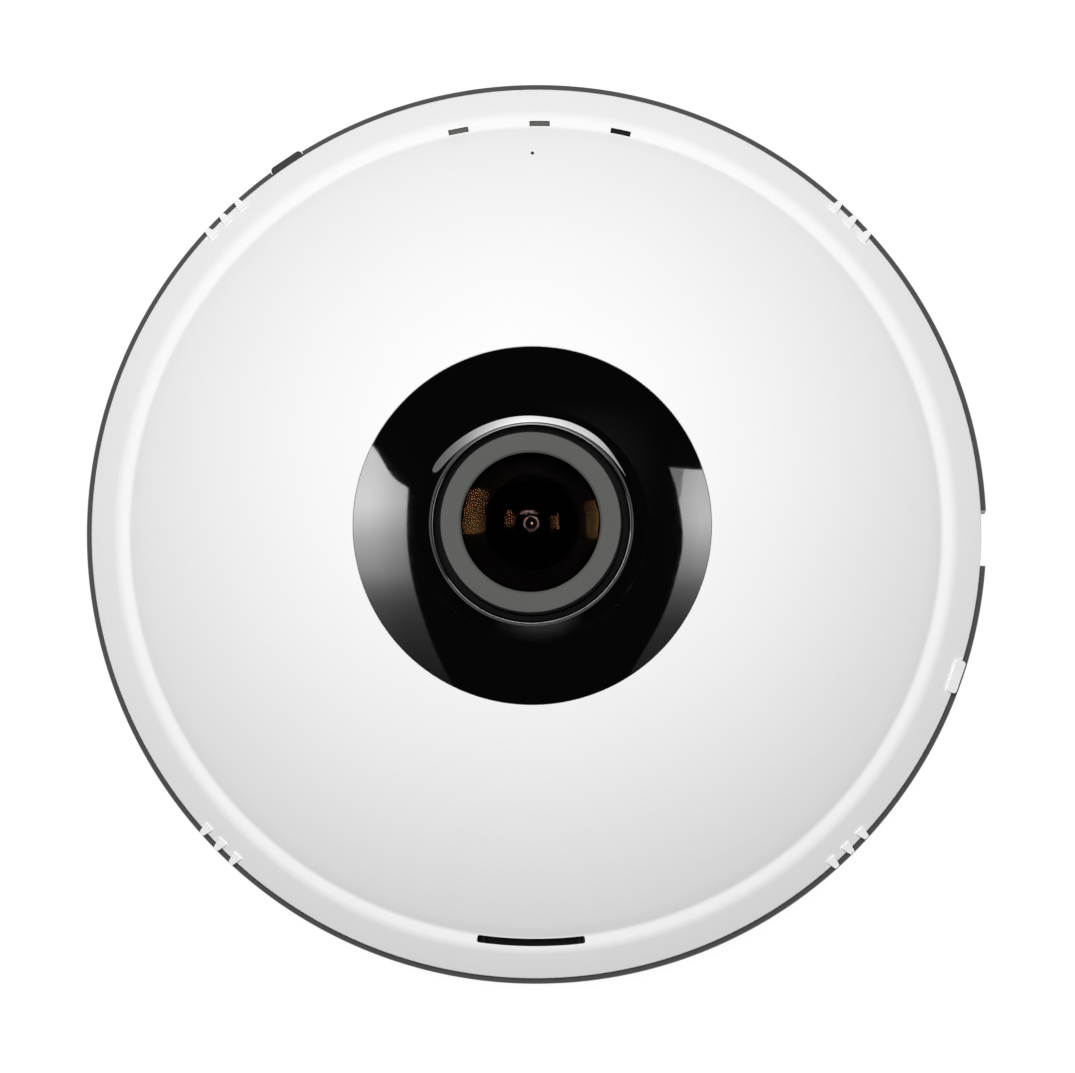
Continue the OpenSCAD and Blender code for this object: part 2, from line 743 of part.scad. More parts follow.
module lens_collar() color("#141416") rotate_extrude() polygon(collar_outline());

module lens_gasket() color("#2a2a2a") ring([barrel_r + glass_play, collar_bore_r - glass_play],
  [head_z + head_cone_h + fuse, head_z + head_cone_h + fuse + gasket_h]);

module lens_barrel() color("#1c1c1e") rotate_extrude() polygon([
  [core_lip_r, lens_foot_z], [thread_r, lens_foot_z], [thread_r, head_z],
  [barrel_r, head_z + head_cone_h], [barrel_r, barrel_top_z - ring_bevel],
  [barrel_r - ring_bevel, barrel_top_z], [skirt_r + ring_skirt_w + ring_skirt_gap, barrel_top_z],
  [skirt_r + ring_skirt_w + ring_skirt_gap, barrel_top_z - ring_skirt_h - ring_skirt_gap],
  [front_r + glass_play, barrel_top_z - ring_skirt_h - ring_skirt_gap],
  [front_r + glass_play, front_seat_z], [throat_bore_r, front_seat_z],
  [throat_bore_r, second_seat_z], [core_bore_r, second_seat_z], [core_bore_r, core_z],
  [core_lip_r, core_z]]);

module lens_retaining_ring() color("#66686a") rotate_extrude() polygon([
  [glass_d / 2, barrel_top_z], [glass_d / 2, lens_ring_z - ring_bevel],
  [glass_d / 2 + ring_bevel, lens_ring_z], [lens_ring_d / 2 - ring_bevel, lens_ring_z],
  [lens_ring_d / 2, lens_ring_z - ring_bevel], [lens_ring_d / 2, barrel_top_z],
  [skirt_r + ring_skirt_w, barrel_top_z], [skirt_r + ring_skirt_w, barrel_top_z - ring_skirt_h],
  [skirt_r, barrel_top_z - ring_skirt_h], [skirt_r, barrel_top_z]]);

// Glass of radius r between a seat and a front face, hollowed by its back face
module meniscus(r, z, front_rr, back_rr, thickness) difference() {
  intersection() {
    disc(r, [z[0], z[1] + overrun]);
    ball(front_rr, z[1] - front_rr);
  }
  ball(back_rr, z[1] - thickness - back_rr);
}

// Glass with one flat and one domed face
module flat_dome(r, z, edge_h, sag) {
  rr = (pow(r, 2) + pow(sag, 2)) / (2 * sag);
  intersection() {
    disc(r, [z, z + edge_h + sag + overrun]);
    ball(rr, z + edge_h + sag - rr);
  }
}

module front_lens_element() color("#20262e")
  meniscus(front_r, [front_seat_z, glass_top_z], glass_front_r, front_back_r, front_t);

module second_lens_element() color("#2a3440")
  meniscus(second_r, [second_seat_z, second_top_z], second_front_r, second_back_r, second_t);

module third_lens_element() color("#2a3440")
  flat_dome(core_glass_r, third_z, third_edge_h, third_sag);

module rear_lens_group() color("#2a3440") flat_dome(core_glass_r, core_z, rear_edge_h, rear_sag);

module lens_spacer_ring() color("#303236") ring([second_r - spacer_wall, second_r],
  [second_top_z - second_front_r + sqrt(pow(second_front_r, 2) - pow(second_r - spacer_wall, 2))
    + pin_gap, front_seat_z]);

module aperture_stop() color("#101010")
  ring([stop_hole_d / 2, core_glass_r], [stop_z, stop_z + stop_t]);

module lens_holder() color("#222326") difference() {
  union() {
    block([-holder_w / 2, holder_w / 2], [-holder_w / 2, holder_w / 2],
      [sensor_z, web_z + holder_web_t]);
    disc(holder_tube_r, [sensor_z, holder_top]);
    for (s = [-1, 1]) {
      translate([0, s * ear_y, 0]) disc(ear_r, [sensor_z, web_z]);
      block([-ear_r, ear_r], [min(0, s * ear_y), max(0, s * ear_y)], [sensor_z, web_z]);
    }
  }
  block([-holder_cavity_w / 2, holder_cavity_w / 2], [-holder_cavity_w / 2, holder_cavity_w / 2],
    [sensor_z - overrun, web_z]);
  drill(holder_web_r, [web_z, web_z + holder_web_t]);
  disc(thread_r + pin_gap, [web_z + holder_web_t, holder_top + overrun]);
  at_ears() disc(holder_screw_d / 2 + pin_gap,
    [sensor_z - overrun, sensor_z + holder_screw_bite + fit_gap]);
}

module at_ears() for (s = [-1, 1]) translate([0, s * ear_y, 0]) children();

module lens_lock_ring() color("#8a8c90") difference() {
  ring([thread_r + pin_gap, lock_ring_r], [holder_top, holder_top + lock_ring_t]);
  for (a = [0, 90]) at(a) block([-lock_ring_r - overrun, lock_ring_r + overrun],
    [-lock_ring_t / 2, lock_ring_t / 2],
    [holder_top + lock_ring_t / 2, holder_top + lock_ring_t + overrun]);
}

module ir_filter() color("#7fb4c8") chip(filter_size, [0, 0], web_z - filter_size[2]);

module lens_holder_screws() color("#b9bbbd") at_ears()
  screw(holder_screw_head_d / 2, holder_screw_d / 2,
    [sensor_board_z - holder_screw_head_t, sensor_board_z, sensor_z + holder_screw_bite]);

module image_sensor() color("#2c2c34") chip(sensor_size, [0, 0], sensor_z);

module at_posts() for (x = [sensor_board_x[0] + post_inset, sensor_board_x[1] - post_inset],
  s = [-1, 1]) translate([x, s * (sensor_board_w / 2 - post_inset), 0]) children();

module sensor_board() color("#1f5a3a") difference() {
  block(sensor_board_x, [-sensor_board_w / 2, sensor_board_w / 2], [sensor_board_z, sensor_z]);
  at_posts() drill(post_screw_d / 2 + fit_gap, [sensor_board_z, sensor_z]);
  at_ears() drill(holder_screw_d / 2 + fit_gap, [sensor_board_z, sensor_z]);
}

module sensor_board_standoffs() color("#c9a24a") at_posts() difference() {
  union() {
    lifted(board_top) cylinder(h = sensor_rise, r = post_r, $fn = 6);
    disc(post_spigot_d / 2, [board_top - board_t * post_spigot_share, board_top + fuse]);
  }
  disc(post_screw_d / 2 + pin_gap, [sensor_board_z - post_hole_depth, sensor_board_z + overrun]);
}

module sensor_board_screws() color("#b9bbbd") at_posts()
  screw(post_screw_head_d / 2, post_screw_d / 2,
    [sensor_z + post_screw_head_t, sensor_z, sensor_board_z - post_screw_bite]);

module board_connector() color("#e6dfc8")
  chip([connector_size[0], connector_size[1], sensor_rise],
    [sensor_board_x[0] + post_inset + post_r + connector_size[0] / 2, 0], board_top);

module main_board() color("#1f5a3a") difference() {
  union() {
    disc(board_r, [board_z, board_top]);
    sector([board_r - groove_wall, board_ear_r], [board_z, board_top], board_ear_angles);
  }
  block([jack_face_x - bay_wall - board_cut_gap, bay_end_x + bay_wall + board_cut_gap],
    [-bay_half_w - bay_wall - board_cut_gap, bay_half_w + bay_wall + board_cut_gap],
    [board_z - overrun, board_top + overrun]);
  at(notch_a) block([bay_end_x, board_ear_r + overrun],
    [-notch_w / 2 - channel_wall - board_cut_gap, notch_w / 2 + channel_wall + board_cut_gap],
    [board_z - overrun, board_top + overrun]);
  at_cover_screws() drill(screw_shank_d / 2 + fit_gap, [board_z, board_top]);
  at_board_screws() drill(board_screw_d / 2 + fit_gap, [board_z, board_top]);
  at_posts() drill(post_spigot_d / 2 + pin_gap, [board_z, board_top]);
}

module processor() color("#2b2b30") chip(processor_size, processor_share * board_r, board_top);

module thermal_pad() color("#8fa0b4")
  chip(pad_size, processor_share * board_r, board_top + processor_size[2]);

module heat_sink() color("#a9acb0") {
  z = board_top + processor_size[2] + pad_size[2];
  p = processor_share * board_r;
  chip(sink_size, p, z);
  for (i = [0 : sink_fin_n - 1])
    chip([sink_fin_t, sink_size[1], sink_fin_h],
      p + [(sink_size[0] - sink_fin_t) * (i / (sink_fin_n - 1) - 1 / 2), 0], z + sink_size[2]);
}

module memory_chips() color("#26262a") for (i = [0 : len(memory_sizes) - 1])
  chip(memory_sizes[i], memory_shares[i] * board_r, board_top);

module wifi_module() color("#b4b6b8") chip(wifi_size, wifi_share * board_r, board_top);

module wifi_antenna() color("#2d6a46") chip(antenna_size, [antenna_share * board_r, 0], board_top);

module antenna_cable() color("#303034") {
  start = wifi_share * board_r;
  arc_wire([start[0] - wifi_size[0] / 4, start[1]],
    [antenna_share * board_r + (antenna_size[0] + coax_d) / 2, -antenna_size[1] / 3],
    board_top + wifi_size[2] + coax_d / 2, coax_bend_r, coax_d);
}

module ethernet_transformer() color("#232327")
  chip(transformer_size, transformer_share * board_r, board_top);

module power_inductor() color("#5a5a5e") {
  chip([inductor_size[0], inductor_size[1], inductor_size[2] / 4], inductor_share * board_r, board_top);
  translate(concat(inductor_share * board_r, [0]))
    disc(inductor_core_d / 2, [board_top + inductor_size[2] / 4, board_top + inductor_size[2]]);
}

module capacitors() color("#3a3c52") for (p = capacitor_shares)
  translate(concat(p * board_r, [0])) disc(capacitor_d / 2, [board_top, board_top + capacitor_h]);

port_z = board_top + port_rise;
port_y = jack_y + jack_size[1] / 2;

module ethernet_jack() color("#1e1f22") difference() {
  block([jack_x, jack_face_x], [jack_y, jack_y + jack_size[1]], [board_top, board_top + jack_size[2]]);
  block([jack_face_x - port_depth, jack_face_x + overrun], [port_y - port_w / 2, port_y + port_w / 2],
    [port_z, port_z + port_h]);
  block([jack_face_x - latch_depth, jack_face_x + overrun],
    [port_y - latch_w / 2, port_y + latch_w / 2], [port_z - latch_h, port_z + fuse]);
}

module ethernet_contacts() color("#c9a24a") for (i = [0 : contact_n - 1])
  let (y = port_y + (i - (contact_n - 1) / 2) * contact_pitch,
    x = jack_face_x - port_depth + contact_d / 2, z = port_z + port_h - contact_d / 2)
    rod([x, y, z - contact_drop], [x + contact_len, y, z], contact_d);

power_z = board_top + power_rise;
power_mid_y = power_y + power_size[1] / 2;

module along_x(x, z) translate([x[0], power_mid_y, z]) rotate([0, 90, 0])
  cylinder(h = x[1] - x[0], d = power_bore_d);

module power_jack() color("#1e1f22") difference() {
  block([jack_face_x - power_size[0], jack_face_x], [power_y, power_y + power_size[1]],
    [board_top, board_top + power_size[2]]);
  along_x([jack_face_x - power_bore_depth, jack_face_x + overrun], power_z);
}

module power_jack_pin() color("#c0c2c4")
  rod([jack_face_x - power_bore_depth, power_mid_y, power_z],
    [jack_face_x - power_pin_set, power_mid_y, power_z], power_pin_d);

module card_socket() color("#a6a8aa") at(card_a) difference() {
  block([switch_face_r - socket_size[0], switch_face_r], [-socket_size[1] / 2, socket_size[1] / 2],
    [board_z - socket_size[2], board_z]);
  block([switch_face_r - socket_slot[0], switch_face_r + overrun],
    [-socket_slot[1] / 2, socket_slot[1] / 2],
    [board_z - (socket_size[2] + socket_slot[2]) / 2, board_z - (socket_size[2] - socket_slot[2]) / 2]);
}

// Switch under the board's edge, open to the lip, with room for its plunger's travel
module edge_switch(a, travel) at(a) difference() {
  block([switch_face_r - switch_size[0], switch_face_r], [-switch_size[1] / 2, switch_size[1] / 2],
    [board_z - switch_size[2], board_z]);
  block([switch_face_r - plunger_seat - travel - key_gap, switch_face_r + overrun],
    [-plunger_w / 2 - plunger_play, plunger_w / 2 + plunger_play],
    [switch_mid_z - plunger_t / 2 - plunger_play, switch_mid_z + plunger_t / 2 + plunger_play]);
}

module plunger(a) at(a) block([switch_face_r - plunger_seat, key_back_r],
  [-plunger_w / 2, plunger_w / 2], [switch_mid_z - plunger_t / 2, switch_mid_z + plunger_t / 2]);

module side_switch() color("#2a2a2e") edge_switch(button_a, button_travel);

module side_switch_plunger() color("#d8d8d4") plunger(button_a);

module side_button() color("#3a3b3d") at(button_a) {
  z = key_floor_z + key_gap;
  x = [key_back_r, ring_r + button_proud];
  block(x, [-button_w / 2 + key_round, button_w / 2 - key_round], [z, z + button_h]);
  block([x[0], x[1] - key_round], [-button_w / 2, button_w / 2], [z, z + button_h]);
  for (s = [-1, 1]) translate([x[1] - key_round, s * (button_w / 2 - key_round), 0])
    disc(key_round, [z, z + button_h]);
  block([x[0], x[0] + key_flange_t], [-button_w / 2 - key_flange_w, button_w / 2 + key_flange_w],
    [floor_z + key_gap, z + button_h]);
}

module reset_switch() color("#2a2a2e") edge_switch(reset_a, reset_travel);

module reset_switch_plunger() color("#d8d8d4") plunger(reset_a);

module reset_button() color("#2f3032") at(reset_a) {
  half = reset_opening_w / 2 - reset_side_gap;
  z = [board_z - switch_size[2], board_z];
  block([key_back_r, ring_r - reset_recess], [-half, half], z);
  block([key_back_r, key_back_r + key_flange_t], [-half - reset_flange_w, half + reset_flange_w],
    [floor_z + key_gap, z[1]]);
}

window_mid_r = (window_r[0] + window_r[1]) / 2;

module status_leds() color("#f2efe0") for (i = [0 : window_n - 1])
  at(window_angle(i)) chip(led_size, [window_mid_r, 0], board_top);

module light_guides() color("#9a9c98") for (i = [0 : window_n - 1]) {
  h = half_angle(window_w - 2 * guide_play, window_r[0]);
  z = ledge_under_z - guide_lip;
  sector([window_r[0] + guide_play, window_r[1] - guide_play], [z - fuse, crease_z],
    [window_angle(i) - h, window_angle(i) + h]);
  at(window_angle(i)) chip(guide_foot, [window_mid_r, 0], z - guide_foot[2]);
}

module at_mic() at(mic_a) translate([mic_r, 0, 0]) children();

module microphone() color("#b4b6b8") at_mic() disc(mic_d / 2, [board_top, board_top + mic_h]);

module microphone_boot() color("#3a3a3a") at_mic() difference() {
  union() {
    disc(mic_boot_r, [board_top, under_at(mic_r + mic_boot_r, fit_gap)]);
    disc(mic_boot_hole_d, [board_top + mic_h, under_at(mic_r + mic_boot_hole_d, fit_gap)]);
  }
  disc(mic_d / 2 + pin_gap, [board_top - overrun, board_top + mic_h + pin_gap]);
  disc(mic_boot_hole_d / 2, [board_top + mic_h / 2, shoulder_z]);
}

speaker_top = box_floor_z + speaker_h;
bowl_r = speaker_d / 2 - speaker_bowl_wall;

module speaker() color("#2c2c2e") translate([0, speaker_y, 0]) difference() {
  disc(speaker_d / 2, [box_floor_z, speaker_top]);
  disc(bowl_r, [speaker_top - speaker_bowl_depth, speaker_top + overrun]);
}

module speaker_diaphragm() color("#55524a") translate([0, speaker_y, 0])
  lifted(speaker_top - speaker_bowl_depth) rotate_extrude() polygon([[0, 0], [bowl_r * cap_share, 0],
    [bowl_r - fit_gap, cone_rise], [bowl_r - fit_gap, cone_rise + cone_t],
    [bowl_r * cap_share, cone_t], [0, cone_rise]]);

slot_half_a = half_angle(sound_slot_w, sound_slot_r[0]);

// Chamber round the speaker, whose duct ends under the cover's sound slot
module speaker_chamber(shrink) intersection() {
  block([-box_half - box_wall + shrink, box_half + box_wall - shrink],
    [-board_r, speaker_y + box_half + box_wall - shrink],
    [board_top + shrink * box_floor_t / box_wall, board_top + box_h - shrink]);
  disc(board_r - shrink, [board_top, collar_z]);
  ball(inner_r - fit_gap - shrink, dome_c);
}

module speaker_box() color("#35363a") difference() {
  union() {
    speaker_chamber(0);
    sector([board_r - box_wall, sound_slot_r[1] + duct_wall],
      [board_top + fit_gap, ledge_under_z - fit_gap],
      [sound_slot_a - slot_half_a + duct_inset_a, sound_slot_a + slot_half_a - duct_inset_a]);
  }
  speaker_chamber(box_wall);
  sector([board_r - 2 * box_wall, sound_slot_r[1]],
    [box_floor_z + fit_gap, ledge_under_z - fit_gap - duct_wall],
    [sound_slot_a - slot_half_a + duct_inset_a + duct_side_a,
      sound_slot_a + slot_half_a - duct_inset_a - duct_side_a]);
  sector(sound_slot_r, [box_floor_z + fit_gap, ledge_under_z + overrun],
    [sound_slot_a - slot_half_a + duct_inset_a + duct_side_a,
      sound_slot_a + slot_half_a - duct_inset_a - duct_side_a]);
}

module speaker_wires() color("#a33a34") {
  p = wire_plug_share * board_r;
  chip(wire_plug, p, board_top);
  for (s = [-1, 1])
    arc_wire([box_half + box_wall + wire_d / 2, speaker_y + s * wire_d],
      [p[0] - wire_plug[0] / 4, p[1] + s * wire_d],
      board_top + wire_plug[2] / 2, wire_bend_r, wire_d);
}

module cover_screws() color("#8d8f92") at_cover_screws()
  screw(screw_head_d / 2, screw_shank_d / 2, [base_z + screw_recess - screw_head_t,
    base_z + screw_recess, base_z + screw_recess + screw_len]);

module board_screws() color("#b9bbbd") at_board_screws()
  screw(board_screw_head_d / 2, board_screw_d / 2,
    [board_top + board_screw_head_t, board_top, base_z + board_screw_bite + fit_gap]);

mounting_bracket();
rear_housing();
port_bay();
front_cover();
lens_collar();
lens_gasket();
lens_barrel();
lens_retaining_ring();
front_lens_element();
second_lens_element();
third_lens_element();
rear_lens_group();
lens_spacer_ring();
aperture_stop();
lens_holder();
lens_lock_ring();
ir_filter();
lens_holder_screws();
image_sensor();
sensor_board();
sensor_board_standoffs();
sensor_board_screws();
board_connector();
main_board();
processor();
thermal_pad();
heat_sink();
memory_chips();
wifi_module();
wifi_antenna();
antenna_cable();
ethernet_transformer();
power_inductor();
capacitors();
ethernet_jack();
ethernet_contacts();
power_jack();
power_jack_pin();
card_socket();
side_button();
side_switch();
side_switch_plunger();
reset_button();
reset_switch();
reset_switch_plunger();
status_leds();
light_guides();
microphone();
microphone_boot();
speaker();
speaker_diaphragm();
speaker_box();
speaker_wires();
cover_screws();
board_screws();
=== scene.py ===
import json
import math
import bmesh
import bpy
from mathutils import Matrix, Vector
from types import SimpleNamespace as Sizes        # reads a dictionary as s.width

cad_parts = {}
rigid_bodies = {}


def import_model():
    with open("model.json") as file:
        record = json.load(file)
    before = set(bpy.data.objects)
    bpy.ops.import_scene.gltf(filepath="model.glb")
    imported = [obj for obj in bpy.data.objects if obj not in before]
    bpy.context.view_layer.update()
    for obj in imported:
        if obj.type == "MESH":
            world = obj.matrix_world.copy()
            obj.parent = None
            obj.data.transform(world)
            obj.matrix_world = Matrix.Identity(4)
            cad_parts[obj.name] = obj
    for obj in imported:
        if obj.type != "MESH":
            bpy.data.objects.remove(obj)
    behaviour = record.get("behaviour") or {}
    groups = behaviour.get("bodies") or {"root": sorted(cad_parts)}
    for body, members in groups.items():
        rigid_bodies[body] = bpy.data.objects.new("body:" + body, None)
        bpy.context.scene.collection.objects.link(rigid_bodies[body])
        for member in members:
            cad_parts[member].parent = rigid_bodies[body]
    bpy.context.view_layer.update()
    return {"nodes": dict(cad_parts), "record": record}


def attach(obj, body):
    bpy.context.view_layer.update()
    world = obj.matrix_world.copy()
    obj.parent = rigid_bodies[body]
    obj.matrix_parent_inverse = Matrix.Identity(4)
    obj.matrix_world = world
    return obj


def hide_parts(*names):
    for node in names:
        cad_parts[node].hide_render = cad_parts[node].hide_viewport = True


for leftover in list(bpy.data.objects):        # the start-up cube, lamp and camera
    bpy.data.objects.remove(leftover)
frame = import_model()        # nodes and record, after the bodies are made
cad = frame["nodes"]
mm = 0.001
white = (1, 1, 1, 1)
mergeGap = 0.0000005        # metres between points that become one


def turned(place, aim, up=(0, 1, 0)):        # looks along its own -Z, as cameras and lamps do
    forward = (Vector(aim) - Vector(place)).normalized()
    right = forward.cross(Vector(up)).normalized()
    matrix = Matrix((right, right.cross(forward), -forward)).transposed().to_4x4()
    matrix.translation = Vector(place)
    return matrix


def placed(name, data):
    thing = bpy.data.objects.new(name, data)
    bpy.context.scene.collection.objects.link(thing)
    return thing


# Camera at the photograph's angle, a little below and right of the lens axis
viewFrom = {"place": (0.0316, -0.0637, 1.2), "aim": (0.000225, -0.000516, 0.0094),
            "lens": 276.7, "sensor": 36, "near": 0.05, "far": 20}
camera = placed("camera", bpy.data.cameras.new("camera"))
camera.matrix_world = turned(viewFrom["place"], viewFrom["aim"])
camera.data.lens, camera.data.sensor_width = viewFrom["lens"], viewFrom["sensor"]
camera.data.clip_start, camera.data.clip_end = viewFrom["near"], viewFrom["far"]
bpy.context.scene.camera = camera
bpy.context.scene.view_settings.view_transform = "Standard"
print("camera ready")


# Node helpers, for materials and for Geometry Nodes alike
def fill(tree, node, inputs):        # links a socket, and sets a constant on the node's own socket
    for key, value in inputs.items():
        if isinstance(value, bpy.types.NodeSocket):
            tree.links.new(value, node.inputs[key])
        else:
            node.inputs[key].default_value = value
    return node


def addNode(tree, kind, inputs=None, **settings):
    node = tree.nodes.new(kind if "Node" in kind else "ShaderNode" + kind)
    for key, value in settings.items():
        setattr(node, key, value)
    return fill(tree, node, inputs or {})


def out(tree, kind, inputs=None, **settings):        # the new node's first output
    return addNode(tree, kind, inputs, **settings).outputs[0]


def addMath(tree, operation, first, second=0.0):
    return out(tree, "Math", {0: first, 1: second}, operation=operation)


def newMaterial(name):
    material = bpy.data.materials.new(name)
    material.use_nodes = True
    tree = material.node_tree
    where = addNode(tree, "TexCoord").outputs["Object"]
    return material, tree, tree.nodes["Principled BSDF"], where


def bareMaterial(name):
    material = bpy.data.materials.new(name)
    material.use_nodes = True
    material.node_tree.nodes.clear()
    return material, material.node_tree


def mixColour(tree, amount, first, second):
    inputs = {0: amount, 6: first, 7: second}
    for key in (6, 7):
        if not isinstance(inputs[key], bpy.types.NodeSocket):
            inputs[key] = (*inputs[key][:3], 1)
    return addNode(tree, "Mix", inputs, data_type="RGBA").outputs[2]


def noise(tree, where, scale, detail=3.0, roughness=0.55):
    return addNode(tree, "TexNoise", {
        "Vector": where, "Scale": scale, "Detail": detail, "Roughness": roughness}).outputs["Fac"]


def ranged(tree, value, low, high, first=0.3, last=0.7):
    return out(tree, "MapRange", {"Value": value, "From Min": first, "From Max": last,
                                  "To Min": low, "To Max": high})


def bumped(tree, height, depth):
    return addNode(tree, "Bump", {
        "Height": height, "Distance": depth * mm, "Strength": 1.0}).outputs["Normal"]


def shade(colour, amount):
    return tuple(min(1, channel * amount) for channel in colour)


# Moulded plastic and rubber: eroded grain, slow tone drift, roughness that follows the grain
def moulded(name, colour, rough=0.5, grain=3200, depth=0.012, drift=0.06, specular=0.5,
            coat=0.0, coatRough=0.1, spread=0.06):
    material, tree, surface, where = newMaterial(name)
    erosion = noise(tree, where, grain, 4.0, 0.6)
    cloud = noise(tree, where, 55)
    tone = mixColour(tree, cloud, shade(colour, 1 - drift), shade(colour, 1 + drift))
    pits = ranged(tree, erosion, 0.0, 0.12, 0.52, 0.72)
    wear = addMath(tree, "ADD", erosion, addMath(tree, "MULTIPLY", cloud, 0.5))
    fill(tree, surface, {
        "Base Color": mixColour(tree, pits, tone, shade(colour, 0.8)),
        "Roughness": ranged(tree, wear, rough - spread, rough + spread, 0.5, 1.0),
        "Normal": bumped(tree, erosion, depth), "Specular IOR Level": specular,
        "Coat Weight": coat, "Coat Roughness": coatRough})
    return material


# Metal: turned or rolled grain, drawn along one axis where stretch is given
def worked(name, colour, rough=0.35, grain=1800, depth=0.004, stretch=(1, 1, 1), metallic=1.0,
           specular=0.5):
    material, tree, surface, where = newMaterial(name)
    drawn = out(tree, "Mapping", {"Vector": where, "Scale": stretch})
    scratches = noise(tree, drawn, grain, 4.0, 0.65)
    stain = noise(tree, where, 90, 2.0)
    tone = mixColour(tree, stain, shade(colour, 0.93), shade(colour, 1.05))
    lines = ranged(tree, scratches, 0, 0.35, 0.45, 0.75)
    fill(tree, surface, {
        "Base Color": mixColour(tree, lines, tone, shade(colour, 1.25)),
        "Roughness": ranged(tree, scratches, rough - 0.07, rough + 0.09),
        "Normal": bumped(tree, scratches, depth), "Metallic": metallic,
        "Specular IOR Level": specular})
    return material


# Lens glass: clear body with a tint, coated faces that mirror in one colour
def coatedGlass(name, colour, tint):
    material, tree, surface, where = newMaterial(name)
    fill(tree, surface, {
        "Base Color": mixColour(tree, noise(tree, where, 140), colour, shade(colour, 0.92)),
        "Roughness": 0.0, "Transmission Weight": 1.0, "IOR": 1.52, "Specular Tint": (*tint, 1)})
    return material


# Circuit board: solder mask over faint tracks, bare gold pads
def solderMask(name, colour):
    material, tree, surface, where = newMaterial(name)
    tracks = addNode(tree, "TexBrick", {
        "Vector": where, "Scale": 420.0, "Mortar Size": 0.09, "Mortar Smooth": 0.3,
        "Brick Width": 1.6, "Row Height": 0.5}).outputs["Fac"]
    pads = addNode(tree, "TexVoronoi", {"Vector": where, "Scale": 260.0, "Randomness": 0.8})
    mask = mixColour(tree, tracks, colour, shade(colour, 1.7))
    onPad = ranged(tree, pads.outputs["Distance"], 1.0, 0.0, 0.13, 0.16)
    fill(tree, surface, {
        "Base Color": mixColour(tree, onPad, mask, (0.72, 0.5, 0.2)), "Metallic": onPad,
        "Roughness": ranged(tree, noise(tree, where, 700), 0.28, 0.42),
        "Normal": bumped(tree, tracks, 0.02)})
    return material


# Window of smoked diffusing plastic, with painted shade: the right-hand one takes a darker colour
def smokedWindow(name, colour, shadeColour, turnAt=0.006):
    material, tree, surface, where = newMaterial(name)
    across = addNode(tree, "SeparateXYZ", {"Vector": where}).outputs["X"]
    # painted shade: windows right of turnAt take the darker colour
    shadedSide = ranged(tree, across, 0, 1, turnAt - 0.001, turnAt + 0.001)
    milk = noise(tree, where, 1500, 2.0)
    tone = mixColour(tree, milk, shade(colour, 0.9), shade(colour, 1.1))
    fill(tree, surface, {
        "Base Color": mixColour(tree, shadedSide, tone, shadeColour), "Subsurface Weight": 0.2,
        "Subsurface Scale": 0.5 * mm, "Roughness": ranged(tree, milk, 0.25, 0.4)})
    return material


# Speaker cone: pressed paper with rings round its own centre
def pressedPaper(name, colour, centre):
    material, tree, surface, where = newMaterial(name)
    there = out(tree, "Mapping", {"Vector": where, "Location": centre})
    rings = addNode(tree, "TexWave", {
        "Vector": there, "Scale": 260.0, "Distortion": 0.4, "Detail": 1.0}, wave_type="RINGS",
        rings_direction="Z").outputs["Fac"]
    fibre = noise(tree, where, 2400, 5.0, 0.7)
    fill(tree, surface, {
        "Base Color": mixColour(tree, fibre, shade(colour, 0.75), shade(colour, 1.3)),
        "Roughness": 0.9, "Normal": bumped(tree, addMath(tree, "ADD", rings, fibre), 0.03)})
    return material


